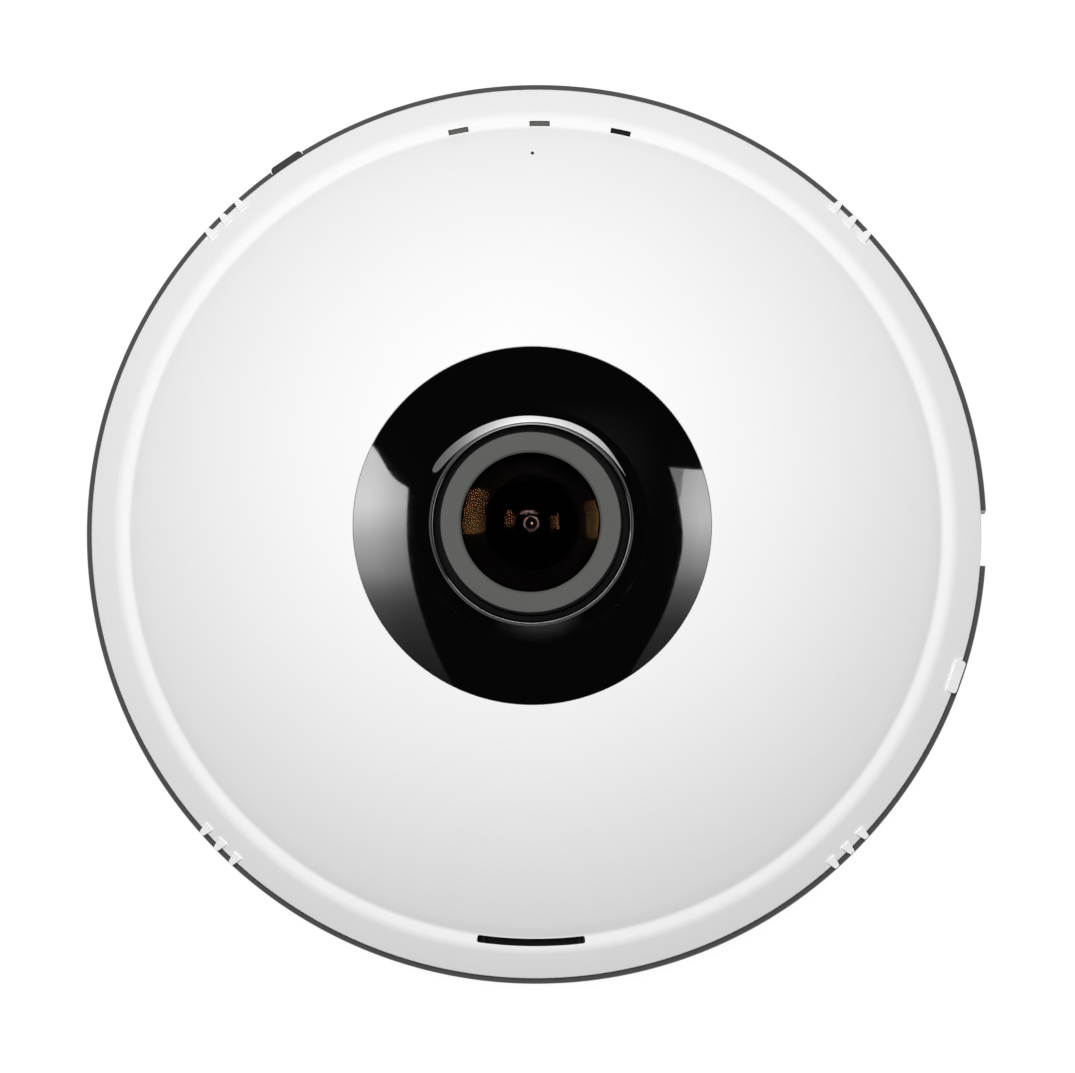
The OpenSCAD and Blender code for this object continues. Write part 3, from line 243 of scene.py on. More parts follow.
finishes = {
    "bracket_plastic": moulded("bracketPlastic", (0.062, 0.062, 0.063), 0.42, 2600, 0.012),
    "housing_plastic": moulded("housingPlastic", (0.08, 0.08, 0.078), 0.38, 2600, 0.01),
    "cover_plastic": moulded("coverPlastic", (0.86, 0.862, 0.858), 0.5, 3600, 0.004, 0.008, 0.25),
    "collar_plastic": moulded("collarPlastic", (0.0012, 0.0011, 0.0011), 0.035, 900, 0.0001, 0.05,
                              0.5, 0.25, 0.03, 0.015),
    "lens_metal": worked("lensMetal", (0.007, 0.0065, 0.006), 0.5, 2200, 0.004, (1, 1, 6), 0.0,
                         0.08),
    "ring_metal": worked("ringMetal", (0.112, 0.115, 0.108), 0.6, 4200, 0.04, metallic=0.1),
    "lens_glass": coatedGlass("lensGlass", (0.9, 0.84, 0.94), (0.5, 0.38, 0.32)),
    "filter_glass": coatedGlass("filterGlass", (0.35, 0.72, 0.85), (0.9, 0.4, 0.5)),
    "black_plastic": moulded("blackPlastic", (0.012, 0.012, 0.0125), 0.55, 2600, 0.01),
    "black_rubber": moulded("blackRubber", (0.018, 0.018, 0.018), 0.8, 1800, 0.02),
    "circuit_board": solderMask("circuitBoard", (0.015, 0.11, 0.05)),
    "chip_package": moulded("chipPackage", (0.022, 0.022, 0.024), 0.6, 5200, 0.006),
    "sensor_package": moulded("sensorPackage", (0.04, 0.035, 0.06), 0.12, 900, 0.001, 0.3, 0.6),
    "thermal_pad": moulded("thermalPad", (0.32, 0.4, 0.5), 0.85, 1500, 0.03),
    "heat_sink": worked("heatSink", (0.6, 0.61, 0.62), 0.34, 1500, 0.006, (1, 9, 1)),
    "shield_steel": worked("shieldSteel", (0.6, 0.6, 0.61), 0.27, 1200, 0.003, (1, 7, 1)),
    "brass": worked("brassMetal", (0.72, 0.5, 0.2), 0.24, 1600, 0.003, (1, 1, 7)),
    "jack_plastic": moulded("jackPlastic", (0.02, 0.02, 0.022), 0.45, 2600, 0.01),
    "connector_plastic": moulded("connectorPlastic", (0.78, 0.73, 0.6), 0.45, 2600, 0.008),
    "capacitor_can": worked("capacitorCan", (0.05, 0.05, 0.12), 0.3, 900, 0.002, (1, 1, 4), 0.2),
    "key_plastic": moulded("keyPlastic", (0.05, 0.05, 0.053), 0.4, 3200, 0.008),
    "plunger_plastic": moulded("plungerPlastic", (0.7, 0.7, 0.66), 0.4, 3000, 0.006),
    "led_package": moulded("ledPackage", (0.85, 0.84, 0.7), 0.2, 2000, 0.003),
    "light_guide": smokedWindow("lightGuide", (0.11, 0.108, 0.1), (0.013, 0.012, 0.011)),
    "speaker_frame": worked("speakerFrame", (0.03, 0.03, 0.032), 0.42, 1500, 0.006,
                            metallic=0.1),
    "speaker_cone": pressedPaper("speakerCone", (0.12, 0.11, 0.09), (0, 0.0408, 0)),
    "wire_insulation": moulded("wireInsulation", (0.02, 0.02, 0.024), 0.4, 1800, 0.004),
}
frontGlass = coatedGlass("frontGlass", (0.84, 0.78, 0.8), (0.12, 0.068, 0.026))
# the stop and spacer's real matt black, made darker than the black plastic as painted shade for the
# inside of the barrel
shadedStopBlack = moulded("shadedStopBlack", (0.003, 0.003, 0.003), 0.8, 2600, 0.01, 0.06, 0.05)
for entry in frame["record"]["subparts"]:        # every carried-over node gets its finish
    data = cad[entry["node"]].data
    data.materials.clear()
    data.materials.append(finishes[entry["material_slot"]])
print("finishes ready:", len(finishes))


# Geometry Nodes trees
def newTree(name, inputs):
    tree = bpy.data.node_groups.new(name, "GeometryNodeTree")
    for label, kind, value in [("Geometry", "Geometry", None)] + inputs:
        socket = tree.interface.new_socket(label, in_out="INPUT", socket_type="NodeSocket" + kind)
        if value is not None:
            socket.default_value = value
    tree.interface.new_socket("Geometry", in_out="OUTPUT", socket_type="NodeSocketGeometry")
    return tree, addNode(tree, "NodeGroupInput").outputs


def endTree(tree, given, geometry):
    whole = out(tree, "GeometryNodeRealizeInstances", {"Geometry": geometry})
    painted = out(tree, "GeometryNodeSetMaterial", {
        "Geometry": whole, "Material": given["Material"]})
    addNode(tree, "NodeGroupOutput", {"Geometry": painted})
    return tree


def latheTree():        # sweeps a section, drawn beyond a base radius, round the lens axis
    tree, given = newTree("lathe", [("Base Radius", "Float", 0.01), ("Segments", "Int", 360),
                                    ("Material", "Material", None)])
    section = out(tree, "GeometryNodeMeshToCurve", {"Mesh": given["Geometry"]})
    path = out(tree, "GeometryNodeCurvePrimitiveCircle", {
        "Resolution": given["Segments"], "Radius": given["Base Radius"]})
    swept = out(tree, "GeometryNodeCurveToMesh", {"Curve": path, "Profile Curve": section})
    joined = out(tree, "GeometryNodeMergeByDistance", {"Geometry": swept, "Distance": mergeGap})
    return endTree(tree, given, joined)


def crownTree():        # copies of a shape round the lens axis, in evenly placed groups
    tree, given = newTree("crown", [("Groups", "Int", 4), ("Per Group", "Int", 1),
                                    ("Step", "Float", 0.0), ("First", "Float", 0.0),
                                    ("Material", "Material", None)])
    groups, perGroup = given["Groups"], given["Per Group"]
    index = addMath(tree, "ADD", out(tree, "GeometryNodeInputIndex"), 0.5)
    group = addMath(tree, "FLOOR", addMath(tree, "DIVIDE", index, perGroup))
    inGroup = addMath(tree, "SUBTRACT", index, addMath(tree, "MULTIPLY", group, perGroup))
    fromMiddle = addMath(tree, "SUBTRACT", inGroup, addMath(tree, "MULTIPLY", perGroup, 0.5))
    fan = addMath(tree, "MULTIPLY", fromMiddle, given["Step"])
    spread = addMath(tree, "MULTIPLY", group, addMath(tree, "DIVIDE", 2 * math.pi, groups))
    angle = addMath(tree, "ADD", addMath(tree, "ADD", fan, spread), given["First"])
    turn = out(tree, "CombineXYZ", {"Z": angle})
    spin = out(tree, "FunctionNodeEulerToRotation", {0: turn})
    count = addMath(tree, "MULTIPLY", groups, perGroup)
    points = out(tree, "GeometryNodePoints", {"Count": count})
    copies = out(tree, "GeometryNodeInstanceOnPoints", {
        "Points": points, "Rotation": spin, "Instance": given["Geometry"]})
    return endTree(tree, given, copies)


def rowTree():        # copies of a shape along a straight row
    tree, given = newTree("row", [("Count", "Int", 8), ("Offset", "Vector", None),
                                  ("Material", "Material", None)])
    line = out(tree, "GeometryNodeMeshLine", {"Count": given["Count"], "Offset": given["Offset"]})
    copies = out(tree, "GeometryNodeInstanceOnPoints", {
        "Points": line, "Instance": given["Geometry"]})
    return endTree(tree, given, copies)


lathe, crown, row = latheTree(), crownTree(), rowTree()


def baked(piece):        # the piece with its modifiers turned into a plain mesh
    whole = piece.evaluated_get(bpy.context.evaluated_depsgraph_get())
    mesh = bpy.data.meshes.new_from_object(whole)
    piece.modifiers.clear()
    piece.data = mesh
    return piece


def grown(name, mesh, tree, values):
    piece = placed(name, mesh)
    modifier = piece.modifiers.new("growth", "NODES")
    modifier.node_group = tree
    for item in tree.interface.items_tree:
        if item.in_out == "INPUT" and item.name in values:
            modifier[item.identifier] = values[item.name]
    return baked(piece)


def outward(work):        # one direction for all faces, then outward by the sign of the volume
    bmesh.ops.recalc_face_normals(work, faces=work.faces)
    if work.calc_volume(signed=True) < 0:
        bmesh.ops.reverse_faces(work, faces=work.faces)


def facedOut(mesh):
    work = bmesh.new()
    work.from_mesh(mesh)
    outward(work)
    work.to_mesh(mesh)
    work.free()


# Sections and outlines, in millimetres
def rounded(path, steps=8):        # a third number on a point rounds that corner
    points = []
    for i, corner in enumerate(path):
        here = Vector(corner[:2])
        if len(corner) < 3:
            points.append(here)
            continue
        before, after = Vector(path[i - 1][:2]), Vector(path[(i + 1) % len(path)][:2])
        toBefore, toAfter = (before - here).normalized(), (after - here).normalized()
        half = math.acos(max(-1, min(1, toBefore.dot(toAfter)))) / 2
        centre = here + (toBefore + toAfter).normalized() * corner[2] / math.sin(half)
        start = here + toBefore * corner[2] / math.tan(half) - centre
        cross = toBefore.x * toAfter.y - toBefore.y * toAfter.x
        sweep = (math.pi - 2 * half) * (-1 if cross > 0 else 1)
        for k in range(steps + 1):
            points.append(centre + Matrix.Rotation(sweep * k / steps, 2) @ start)
    return points


def arcSection(centreZ, radius, fromR, toR, steps=24):        # sphere's section between two radii
    return [(fromR + (toR - fromR) * i / steps,
             centreZ + math.copysign(1, radius) * math.sqrt(
                 radius ** 2 - (fromR + (toR - fromR) * i / steps) ** 2)) for i in range(steps + 1)]


def lathed(name, section, segments=360, closed=True, base=10):
    mesh = bpy.data.meshes.new(name)
    points = [tuple(p) for p in section]
    count = len(points)
    mesh.from_pydata([((r - base) * mm, -z * mm, 0) for r, z in points],
                     [(i, (i + 1) % count) for i in range(count if closed else count - 1)], [])
    piece = grown(name, mesh, lathe, {"Base Radius": base * mm, "Segments": segments})
    facedOut(piece.data)
    return piece


def spun(points, angle):
    turn = Matrix.Rotation(math.radians(angle), 2)
    return [turn @ Vector(p) for p in points]


def plate(x, y, angle=0, corner=0, steps=5):        # rectangle, radial x and crosswise y
    path = [(x[0], y[0], corner), (x[1], y[0], corner), (x[1], y[1], corner), (x[0], y[1], corner)]
    return spun(rounded(path if corner else [p[:2] for p in path], steps), angle)


def band(r, angles, steps=12):        # part of a ring
    def arc(radius, first, last):
        return [Vector((radius * math.cos(a), radius * math.sin(a))) for a in
                (math.radians(first + (last - first) * i / steps) for i in range(steps + 1))]
    return arc(r[0], angles[1], angles[0]) + arc(r[1], angles[0], angles[1])


def circle(place, radius, steps=48):
    return [Vector((place[0] + radius * math.cos(2 * math.pi * i / steps),
                    place[1] + radius * math.sin(2 * math.pi * i / steps))) for i in range(steps)]


def around(radius, angle):
    return radius * math.cos(math.radians(angle)), radius * math.sin(math.radians(angle))


def discs(ring, angles, radius, low, high, steps=48):        # round shapes on a circle, for solidOf
    return [(circle(around(ring, angle), radius, steps), low, high) for angle in angles]


def prism(work, outline, low, high, top=None):        # heights may follow the place
    area = sum(outline[i - 1][0] * p[1] - p[0] * outline[i - 1][1] for i, p in enumerate(outline))
    if area < 0:
        outline, top = outline[::-1], top and top[::-1]
    lowAt = low if callable(low) else (lambda x, y: low)
    highAt = high if callable(high) else (lambda x, y: high)
    lower = [work.verts.new((x * mm, y * mm, lowAt(x, y) * mm)) for x, y in outline]
    upper = [work.verts.new((x * mm, y * mm, highAt(x, y) * mm)) for x, y in (top or outline)]
    work.faces.new(lower[::-1])
    work.faces.new(upper)
    for i in range(len(outline)):
        j = (i + 1) % len(outline)
        work.faces.new((lower[i], lower[j], upper[j], upper[i]))


def meshOf(work, name):
    mesh = bpy.data.meshes.new(name)
    work.to_mesh(mesh)
    work.free()
    return mesh


def solidOf(shapes):        # one mesh of several prisms: (outline, low, high) or with a top outline
    work = bmesh.new()
    for shape in shapes:
        prism(work, *shape)
    if any(callable(height) for shape in shapes for height in shape[1:3]):
        bmesh.ops.triangulate(work, faces=work.faces)
    return meshOf(work, "shapes")


def joinedWith(piece, operation, *meshes):        # boolean with each mesh in turn
    for mesh in meshes:
        helper = placed("helper", mesh)
        modifier = piece.modifiers.new("joint", "BOOLEAN")
        modifier.operation = operation
        modifier.solver = "MANIFOLD"
        modifier.object = helper
        baked(piece)
        bpy.data.objects.remove(helper)
    return piece


def cut(piece, *meshes):
    return joinedWith(piece, "DIFFERENCE", *meshes)


def fused(piece, *meshes):
    return joinedWith(piece, "UNION", *meshes)


def cleaned(piece, sharp=30):
    work = bmesh.new()
    work.from_mesh(piece.data)
    bmesh.ops.remove_doubles(work, verts=work.verts, dist=mergeGap)
    bmesh.ops.dissolve_degenerate(work, edges=work.edges, dist=mergeGap)
    outward(work)
    loose = sum(1 for edge in work.edges if len(edge.link_faces) != 2)
    work.to_mesh(piece.data)
    work.free()
    piece.data.polygons.foreach_set("use_smooth", [True] * len(piece.data.polygons))
    piece.data.set_sharp_from_angle(angle=math.radians(sharp))
    print(piece.name, len(piece.data.polygons), "faces,", loose, "open edges")
    return piece


def bevelled(piece, width, steps=3, angle=35):
    modifier = piece.modifiers.new("edge", "BEVEL")
    modifier.width = width * mm
    modifier.segments = steps
    modifier.use_clamp_overlap = False
    modifier.limit_method = "ANGLE"
    modifier.angle_limit = math.radians(angle)
    return baked(piece)


def settled(piece, body, slot, *replaced, finish=None, sharp=30):
    piece.data.materials.clear()
    piece.data.materials.append(finish or finishes[slot])
    piece.data.polygons.foreach_set("material_index", [0] * len(piece.data.polygons))
    cleaned(piece, sharp)
    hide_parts(*replaced)
    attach(piece, body)
    return piece


# Ceiling bracket: rim, plate, hooks, plug window, notch and countersunk screw holes
bracketSizes = {"outer": 65.0, "rim": 62.6, "rimTop": 4.0, "plate": 2.2, "hole": 32.0,
                "hubOuter": 34.0, "hubTop": 3.6, "window": (44.0, 15.1, 1.0), "screwCircle": 46,
                "screwAngles": (60, 180, 300), "screwHole": 2.25, "sink": 3.78, "sinkLow": 0.9}
notchAt, notchSides = -0.75, (-4, 4)        # cable notch through both dark rings
hookStarts = (58, 178, 298)
hookParts = [((60.2, 61.8), (-1.2, 12), 2.0, 7.6),        # wall: radii, turn, low and high
             ((57.3, 61.7), (-1.15, 11.95), 6.3, 7.59),        # flange
             ((57.35, 61.65), (-1.2, 0), 2.05, 7.55)]        # stop


def makeBracket():
    s = Sizes(**bracketSizes)
    piece = lathed("mountingBracket", rounded([
        (s.hole, 0, 0.15), (s.outer, 0, 0.3), (s.outer, s.rimTop, 0.3), (s.rim, s.rimTop, 0.2),
        (s.rim, s.plate, 0.3), (s.hubOuter, s.plate, 0.3), (s.hubOuter, s.hubTop, 0.2),
        (s.hole, s.hubTop, 0.2)], 5), 480)
    fused(piece, *[solidOf([(band(radii, (a + first, a + last)), low, high) for a in hookStarts])
                   for radii, (first, last), low, high in hookParts])
    reach, half, corner = s.window
    cut(piece, solidOf([(plate((0, reach), (-half, half), 0, corner), -1, 5),
                        (plate((60, 70), notchSides, notchAt), -1, 5)]))
    ring, angles = s.screwCircle, s.screwAngles
    sinks = [(circle(around(ring, a), s.screwHole), s.sinkLow, 2.25,
              circle(around(ring, a), s.sink)) for a in angles]
    cut(piece, solidOf(discs(ring, angles, s.screwHole, -1, 3)), solidOf(sinks))
    settled(piece, "bracket", "bracket_plastic", "mounting_bracket")


makeBracket()

# Rear housing: floor, stepped wall, bayonet grooves, cable channel, openings, vents and recesses.
# The openings are (angle, inner radius, half width, whether a low bar is left over it).
housingSizes = {"outer": 65.0, "wall": 62.6, "seat": 63.8, "low": 4.3, "floor": 5.8, "lip": 9.4,
                "seam": 9.8, "grooveInner": 56.5, "grooveTop": 8.0, "grooveTurn": (-20, 14),
                "grooveWall": 1.5, "boss": 3.6, "bossTop": 7.3, "channelTop": 8.3,
                "pillars": (33.8, (120, 200, 300), 2.4), "bay": ((24.4, 43.0), (-15.3, 15.3)),
                "vents": (-8, -4, 0, 4, 8), "ventHalf": 0.8, "recess": 2.7,
                "plate": ((-24, 10), (-32, -16), 0.3),
                "keeper": ((56.3, 59.6), (0.6, 11.4), 6.0), "barLow": 8.2, "barHigh": 8.95,
                "openings": [(89, 60.5, 11.0, True), (123.9, 60.4, 2.72, False),
                             (108.85, 60.5, 1.1, True)]}
fixings = {"circle": 50, "angles": (45, 135, 225, 315), "pilot": 1.33}        # cover screws


def makeHousing():
    s = Sizes(**housingSizes)
    piece = lathed("rearHousing", rounded([
        (0, s.low), (20, s.low), (45, s.low), (s.outer, s.low, 0.25), (s.outer, s.lip, 0.55),
        (s.seat, s.lip, 0.1), (s.seat, s.seam, 0.1), (s.wall, s.seam, 0.15), (s.wall, s.floor, 0.3),
        (45, s.floor), (20, s.floor), (0, s.floor)], 5), 480, closed=False)
    under, above, inside = 3, 11, 5.0        # cutters reach past the faces, walls start inside
    ring, angles = fixings["circle"], fixings["angles"]
    first, last = s.grooveTurn
    walls = [(band((55.0, 62.9), (a + first - s.grooveWall, a + last + s.grooveWall)), inside,
              s.lip - 0.02) for a in hookStarts]
    cable = (plate((43.1, 62.9), (-5.2, 5.2), notchAt), inside, 9.5)
    fused(piece, solidOf(walls + [cable] + discs(ring, angles, s.boss, inside, s.bossTop) +
                         discs(*s.pillars, inside, s.bossTop, 32)))
    cut(piece, solidOf([(band((s.grooveInner, s.wall), (a + first, a + last), 24), under,
                         s.grooveTop) for a in hookStarts]))
    cut(piece, solidOf([(plate((41.9, 66), notchSides, notchAt), under, s.channelTop)]))
    vents = [(plate((-45.8, -32.2), (y - s.ventHalf, y + s.ventHalf), 0, 0.79), under, 6.5)
             for y in s.vents]
    (bayX, bayY), (plateX, plateY, depth) = s.bay, s.plate
    cut(piece, solidOf([(plate(bayX, bayY, 0, 0.6), under, 6.5)] + vents +
                       [(plate(plateX, plateY, 0, 1.0), under, s.low + depth)] +
                       discs(ring, angles, s.recess, under, 6.0)))
    notch = (plate((62.5, 66), notchSides, notchAt), 3.1, above)
    openings = [(plate((r, 66), (-half, half), a), 5.2, s.barLow if barred else above)
                for a, r, half, barred in s.openings]
    cut(piece, solidOf([notch] + openings + discs(ring, angles, fixings["pilot"], 5.5, 8.0, 32)))
    cut(piece, solidOf([(plate((r, 66), (-half, half), a), s.barHigh, above)
                        for a, r, half, barred in s.openings if barred]))
    radii, (first, last), top = s.keeper
    fused(piece, solidOf([(band(radii, (a + first, a + last)), s.low + 0.01, top)
                          for a in hookStarts]))
    settled(piece, "camera", "housing_plastic", "rear_housing")


makeHousing()

# White cover: dome, crease, ledge, shoulder and rim band, with windows, slot, pinhole, ribs and tab
domeCentre, domeRadius = -64.07, 96.89        # the sphere that cover and collar share
coverSizes = {"inner": 94.89, "collar": 25.5, "dip": 57.3, "crease": (58.45, 13.06, 1.2),
              "shoulder": (60.3, 12.84, 2.8), "edge": (64.2, 10.12, 0.3), "low": 9.8,
              "skirt": (61.86, 60.08, 57.78), "skirtTop": 11.2, "boss": 3.2, "bossLow": 8.95,
              "bossSphere": 95.9, "windowRadii": (58.60, 59.36), "windows": (77.95, 89.4, 100.85),
              "windowHalf": 1.42, "slot": (58.53, 59.60), "slotAt": 269.4, "slotHalf": 7.54,
              "slotCorner": 0.28, "pinhole": (54.4, 90.35, 0.25), "tab": (63.3, 64.75),
              "tabAt": -19, "tabHalf": 2.4, "tabTop": 11.25, "tabSlope": 0.4}
ribSizes = {"inner": 63.3, "tip": 64.92, "half": 0.75, "tipHalf": 0.38, "low": 9.8, "top": 11.1,
            "drop": 0.52, "groups": 4, "perGroup": 3, "step": 2.65, "first": 44.65}


def domeAt(radius, sphere=domeRadius):
    return domeCentre + math.sqrt(sphere ** 2 - radius ** 2)


def coverSection():
    s = Sizes(**coverSizes)
    outer = arcSection(domeCentre, domeRadius, s.collar + 0.12, s.dip, 40)
    inner = arcSection(domeCentre, s.inner, 57.0, s.collar, 30)
    low, step, wall = s.skirt
    return rounded([(s.collar, domeAt(s.collar) - 0.1)] + outer + [
        s.crease, s.shoulder, s.edge, (s.edge[0], s.low, 0.1), (low, s.low), (step, s.skirtTop),
        (wall, s.skirtTop)] + inner, 9)


def ribMesh():
    s = Sizes(**ribSizes)
    outline = rounded([(s.inner, -s.half), (s.tip, -s.tipHalf, 0.25), (s.tip, s.tipHalf, 0.25),
                       (s.inner, s.half)], 3)
    slope = s.drop / (s.tip - s.inner)
    return solidOf([(outline, s.low, lambda x, y: s.top - slope * (x - s.inner))])


def makeCover():
    s = Sizes(**coverSizes)
    piece = lathed("frontCover", coverSection(), 720)
    ring, angles = fixings["circle"], fixings["angles"]
    bosses = discs(ring, angles, s.boss, s.bossLow,
                   lambda x, y: domeAt(math.hypot(x, y), s.bossSphere))
    ribs = grown("ribs", ribMesh(), crown, {
        "Groups": ribSizes["groups"], "Per Group": ribSizes["perGroup"],
        "Step": math.radians(ribSizes["step"]), "First": math.radians(ribSizes["first"])})
    ribs.data.materials.clear()
    tabX, tabY = around(1, s.tabAt)
    tab = (plate(s.tab, (-s.tabHalf, s.tabHalf), s.tabAt, 0.4), s.low + 0.05,
           lambda x, y: s.tabTop - s.tabSlope * (x * tabX + y * tabY - s.tab[0]))
    fused(piece, solidOf(bosses), ribs.data, solidOf([tab]))
    bpy.data.objects.remove(ribs)
    windows = [(band(s.windowRadii, (a - s.windowHalf, a + s.windowHalf)), 9, 15)
               for a in s.windows]
    slotTurn = (s.slotAt - s.slotHalf, s.slotAt + s.slotHalf)
    slot = (softened(band(s.slot, slotTurn, 28), s.slotCorner), 9, 15)
    r, a, hole = s.pinhole
    cut(piece, solidOf(windows + [slot, (circle(around(r, a), hole, 24), 9, 18)] +
                       discs(ring, angles, fixings["pilot"], 8, 14.9, 32)))
    settled(piece, "camera", "cover_plastic", "front_cover", sharp=28)


def softened(outline, radius):        # rounds only an outline's real corners
    count = len(outline)
    path = []
    for i, p in enumerate(outline):
        u = (outline[i - 1] - p).normalized()
        v = (outline[(i + 1) % count] - p).normalized()
        corner = math.degrees(math.acos(max(-1, min(1, u.dot(v))))) < 140
        path.append((p.x, p.y, radius) if corner else (p.x, p.y))
    return rounded(path, 5)


makeCover()

# Black gloss collar with its raised lip, flange under the cover and sleeve. The lip's rise is drawn
# by arcs, from the foot inwards: (tilt at its start, tilt at its end, radius, steps).
collarSizes = {"bore": 13.8, "foot": 16.56, "footRound": 0.02, "edge": 25.45, "bevel": 0.03,
               "flange": 28.5, "flangeTop": 94.79, "flangeLow": 93.39, "step": 23.5, "wall": 2,
               "sleeve": 15.4, "low": 24.0,
               "rise": [(24, 45, 7.0, 16), (45, 60, 1.7, 6), (60, 0, 0.25, 10), (0, -90, 0.17, 8)]}


def makeCollar():
    s = Sizes(**collarSizes)
    skin = arcSection(domeCentre, domeRadius, s.foot, s.edge - s.bevel, 40)
    lip, (r, z) = [], skin[0]
    for start, end, radius, steps in s.rise:
        hollow = 1 if end > start else -1
        for i in range(1, steps + 1):
            a, b = (math.radians(start + (end - start) * k / steps) for k in (i - 1, i))
            r -= hollow * radius * (math.sin(b) - math.sin(a))
            z += hollow * radius * (math.cos(a) - math.cos(b))
            lip.insert(0, (r, z))
    foot = [(s.foot - s.footRound, skin[0][1] + 0.009), skin[0],
            (s.foot + s.footRound, skin[0][1] - 0.0035)]
    under = arcSection(domeCentre, domeRadius - s.wall, 21.5, s.sleeve, 12)
    section = [(s.bore, s.low)] + lip + foot + skin[1:] + [
        (s.edge, domeAt(s.edge) - s.bevel), (s.edge, domeAt(s.edge, s.flangeTop)),
        (s.flange, domeAt(s.flange, s.flangeTop)), (s.flange, domeAt(s.flange, s.flangeLow)),
        (s.step, domeAt(s.step, s.flangeLow)), (s.step, domeAt(s.step) - s.wall)] + under + [
        (s.sleeve, s.low)]
    settled(lathed("lensCollar", rounded(section, 12), 540), "camera", "collar_plastic",
            "lens_collar", sharp=12.5)


makeCollar()

# Lens barrel with its thread and the light baffles of its throat
barrelSizes = {"outer": 12.9, "top": 37.45, "bevel": 0.3, "shoulder": (25.0, 27.0), "low": 17.3,
               "bore": 3.4, "core": 4.2, "coreLow": 18.0, "throat": 7.0, "throatLow": 27.9,
               "seat": 33.7, "seatBore": 10.35, "counter": (11.25, 36.4), "threadOuter": 6.0,
               "threadDepth": 0.2, "threadEnds": (18.0, 24.6), "pitch": 0.5,
               "baffleEnds": (35.9, 34.4), "baffle": 0.45, "groove": 0.22}


def makeBarrel():
    s = Sizes(**barrelSizes)
    baffles, thread = [], []
    z, last = s.baffleEnds
    while z > last:        # turned grooves that kill stray light
        baffles += [(s.seatBore, z), (s.seatBore + s.groove, z - s.baffle / 2),
                    (s.seatBore, z - s.baffle)]
        z -= s.baffle
    z, last = s.threadEnds
    while z < last:
        thread += [(s.threadOuter, z), (s.threadOuter - s.threadDepth, z + s.pitch / 2)]
        z += s.pitch
    (neck, wide), (counter, step) = s.shoulder, s.counter
    section = [(s.bore, s.low), (s.threadOuter, s.low)] + thread + [
        (s.threadOuter, neck), (s.outer, wide, 0.2), (s.outer, s.top - s.bevel),
        (s.outer - s.bevel, s.top), (counter, s.top), (counter, step), (s.seatBore, step)
    ] + baffles + [
        (s.seatBore, s.seat), (s.throat, s.seat, 0.12), (s.throat, s.throatLow),
        (s.core, s.throatLow, 0.1), (s.core, s.coreLow), (s.bore, s.coreLow)]
    settled(lathed("lensBarrel", rounded(section, 5), 360), "camera", "lens_metal", "lens_barrel")


makeBarrel()

# Satin ring that holds the front glass
ringSizes = {"inner": 9.85, "slope": 0.3, "outer": 12.7, "low": 37.45, "top": 38.1, "bevel": 0.1,
             "spigot": (11.2, 10.4, 36.45)}


def makeRing():
    s = Sizes(**ringSizes)
    spigotOuter, spigotInner, spigotLow = s.spigot
    section = [(s.inner, s.low), (s.inner, s.top - s.slope, 0.05), (s.inner + s.slope, s.top, 0.12),
               (s.outer - s.bevel, s.top, 0.05), (s.outer, s.top - s.bevel, 0.05), (s.outer, s.low),
               (spigotOuter, s.low), (spigotOuter, spigotLow), (spigotInner, spigotLow),
               (spigotInner, s.low)]
    settled(lathed("lensRetainingRing", rounded(section, 5), 540), "camera", "ring_metal",
            "lens_retaining_ring", sharp=50)


makeRing()

# Glasses: (edge radius, seat, front top, front radius, back radius or None, thickness)
glassSizes = {"front": (10.3, 33.7, 39.063, 30.0, 13.4, 1.8),
              "second": (6.95, 27.9, 32.6, 9.0, 4.6, 1.4),
              "third": (4.15, 21.9, 25.7, 8.378, None, 0)}


def makeGlass(key, name, node, finish=None):
    edge, seat, top, front, back, thickness = glassSizes[key]
    face = arcSection(top - front, front, edge - 0.1, 0.0, 40)
    edgeZ = top - front + math.sqrt(front ** 2 - edge ** 2)
    section = [(edge, seat), (edge, edgeZ - 0.12)] + face
    if back:
        centre = top - thickness - back
        rim = math.sqrt(back ** 2 - (seat - centre) ** 2)
        section = arcSection(centre, back, 0.0, rim, 30) + section
    else:
        section = [(0, seat)] + section
    settled(lathed(name, section, 256, closed=False), "camera", "lens_glass", node, finish=finish,
            sharp=35)


makeGlass("front", "frontGlass", "front_lens_element", frontGlass)
makeGlass("second", "secondGlass", "second_lens_element")
makeGlass("third", "thirdGlass", "third_lens_element")

stopSizes = {"hole": 1.3, "outer": 4.15, "low": 21.5, "top": 21.9}
spacerSizes = {"outer": 6.95, "inner": 6.35, "steps": 6.2, "stepDepth": 0.12, "stepHeight": 0.28,
               "stepEnds": (33.6, 30.5), "low": 30.18, "top": 33.68}


def makeStops():
    s = Sizes(**stopSizes)
    iris = lathed("apertureStop", [(s.hole, s.low + 0.15), (s.hole, s.low + 0.2),
                                   (s.hole + 0.5, s.top), (s.outer, s.top),
                                   (s.outer, s.low), (s.hole + 0.4, s.low)], 128)
    settled(iris, "camera", "black_plastic", "aperture_stop", finish=shadedStopBlack, sharp=20)
    s = Sizes(**spacerSizes)
    steps = []
    z, last = s.stepEnds
    while z > last:        # fine steps on the spacer's inside
        steps += [(s.steps, z), (s.steps + s.stepDepth, z - s.stepHeight / 2),
                  (s.steps, z - s.stepHeight)]
        z -= s.stepHeight
    section = [(s.outer, s.low), (s.outer, s.top), (s.inner, s.top)] + steps + [(s.steps, s.low)]
    settled(lathed("lensSpacerRing", section, 200), "camera", "black_plastic", "lens_spacer_ring",
            finish=shadedStopBlack, sharp=20)


makeStops()

# Status windows and their feet
windowSizes = {"radii": (58.68, 59.28), "half": 1.34, "low": 10.8, "top": 13.04, "bevel": 0.05,
               "foot": (0.75, 1.8), "footLow": 10.05, "footTop": 11.15, "step": 11.45,
               "middle": 89.4}


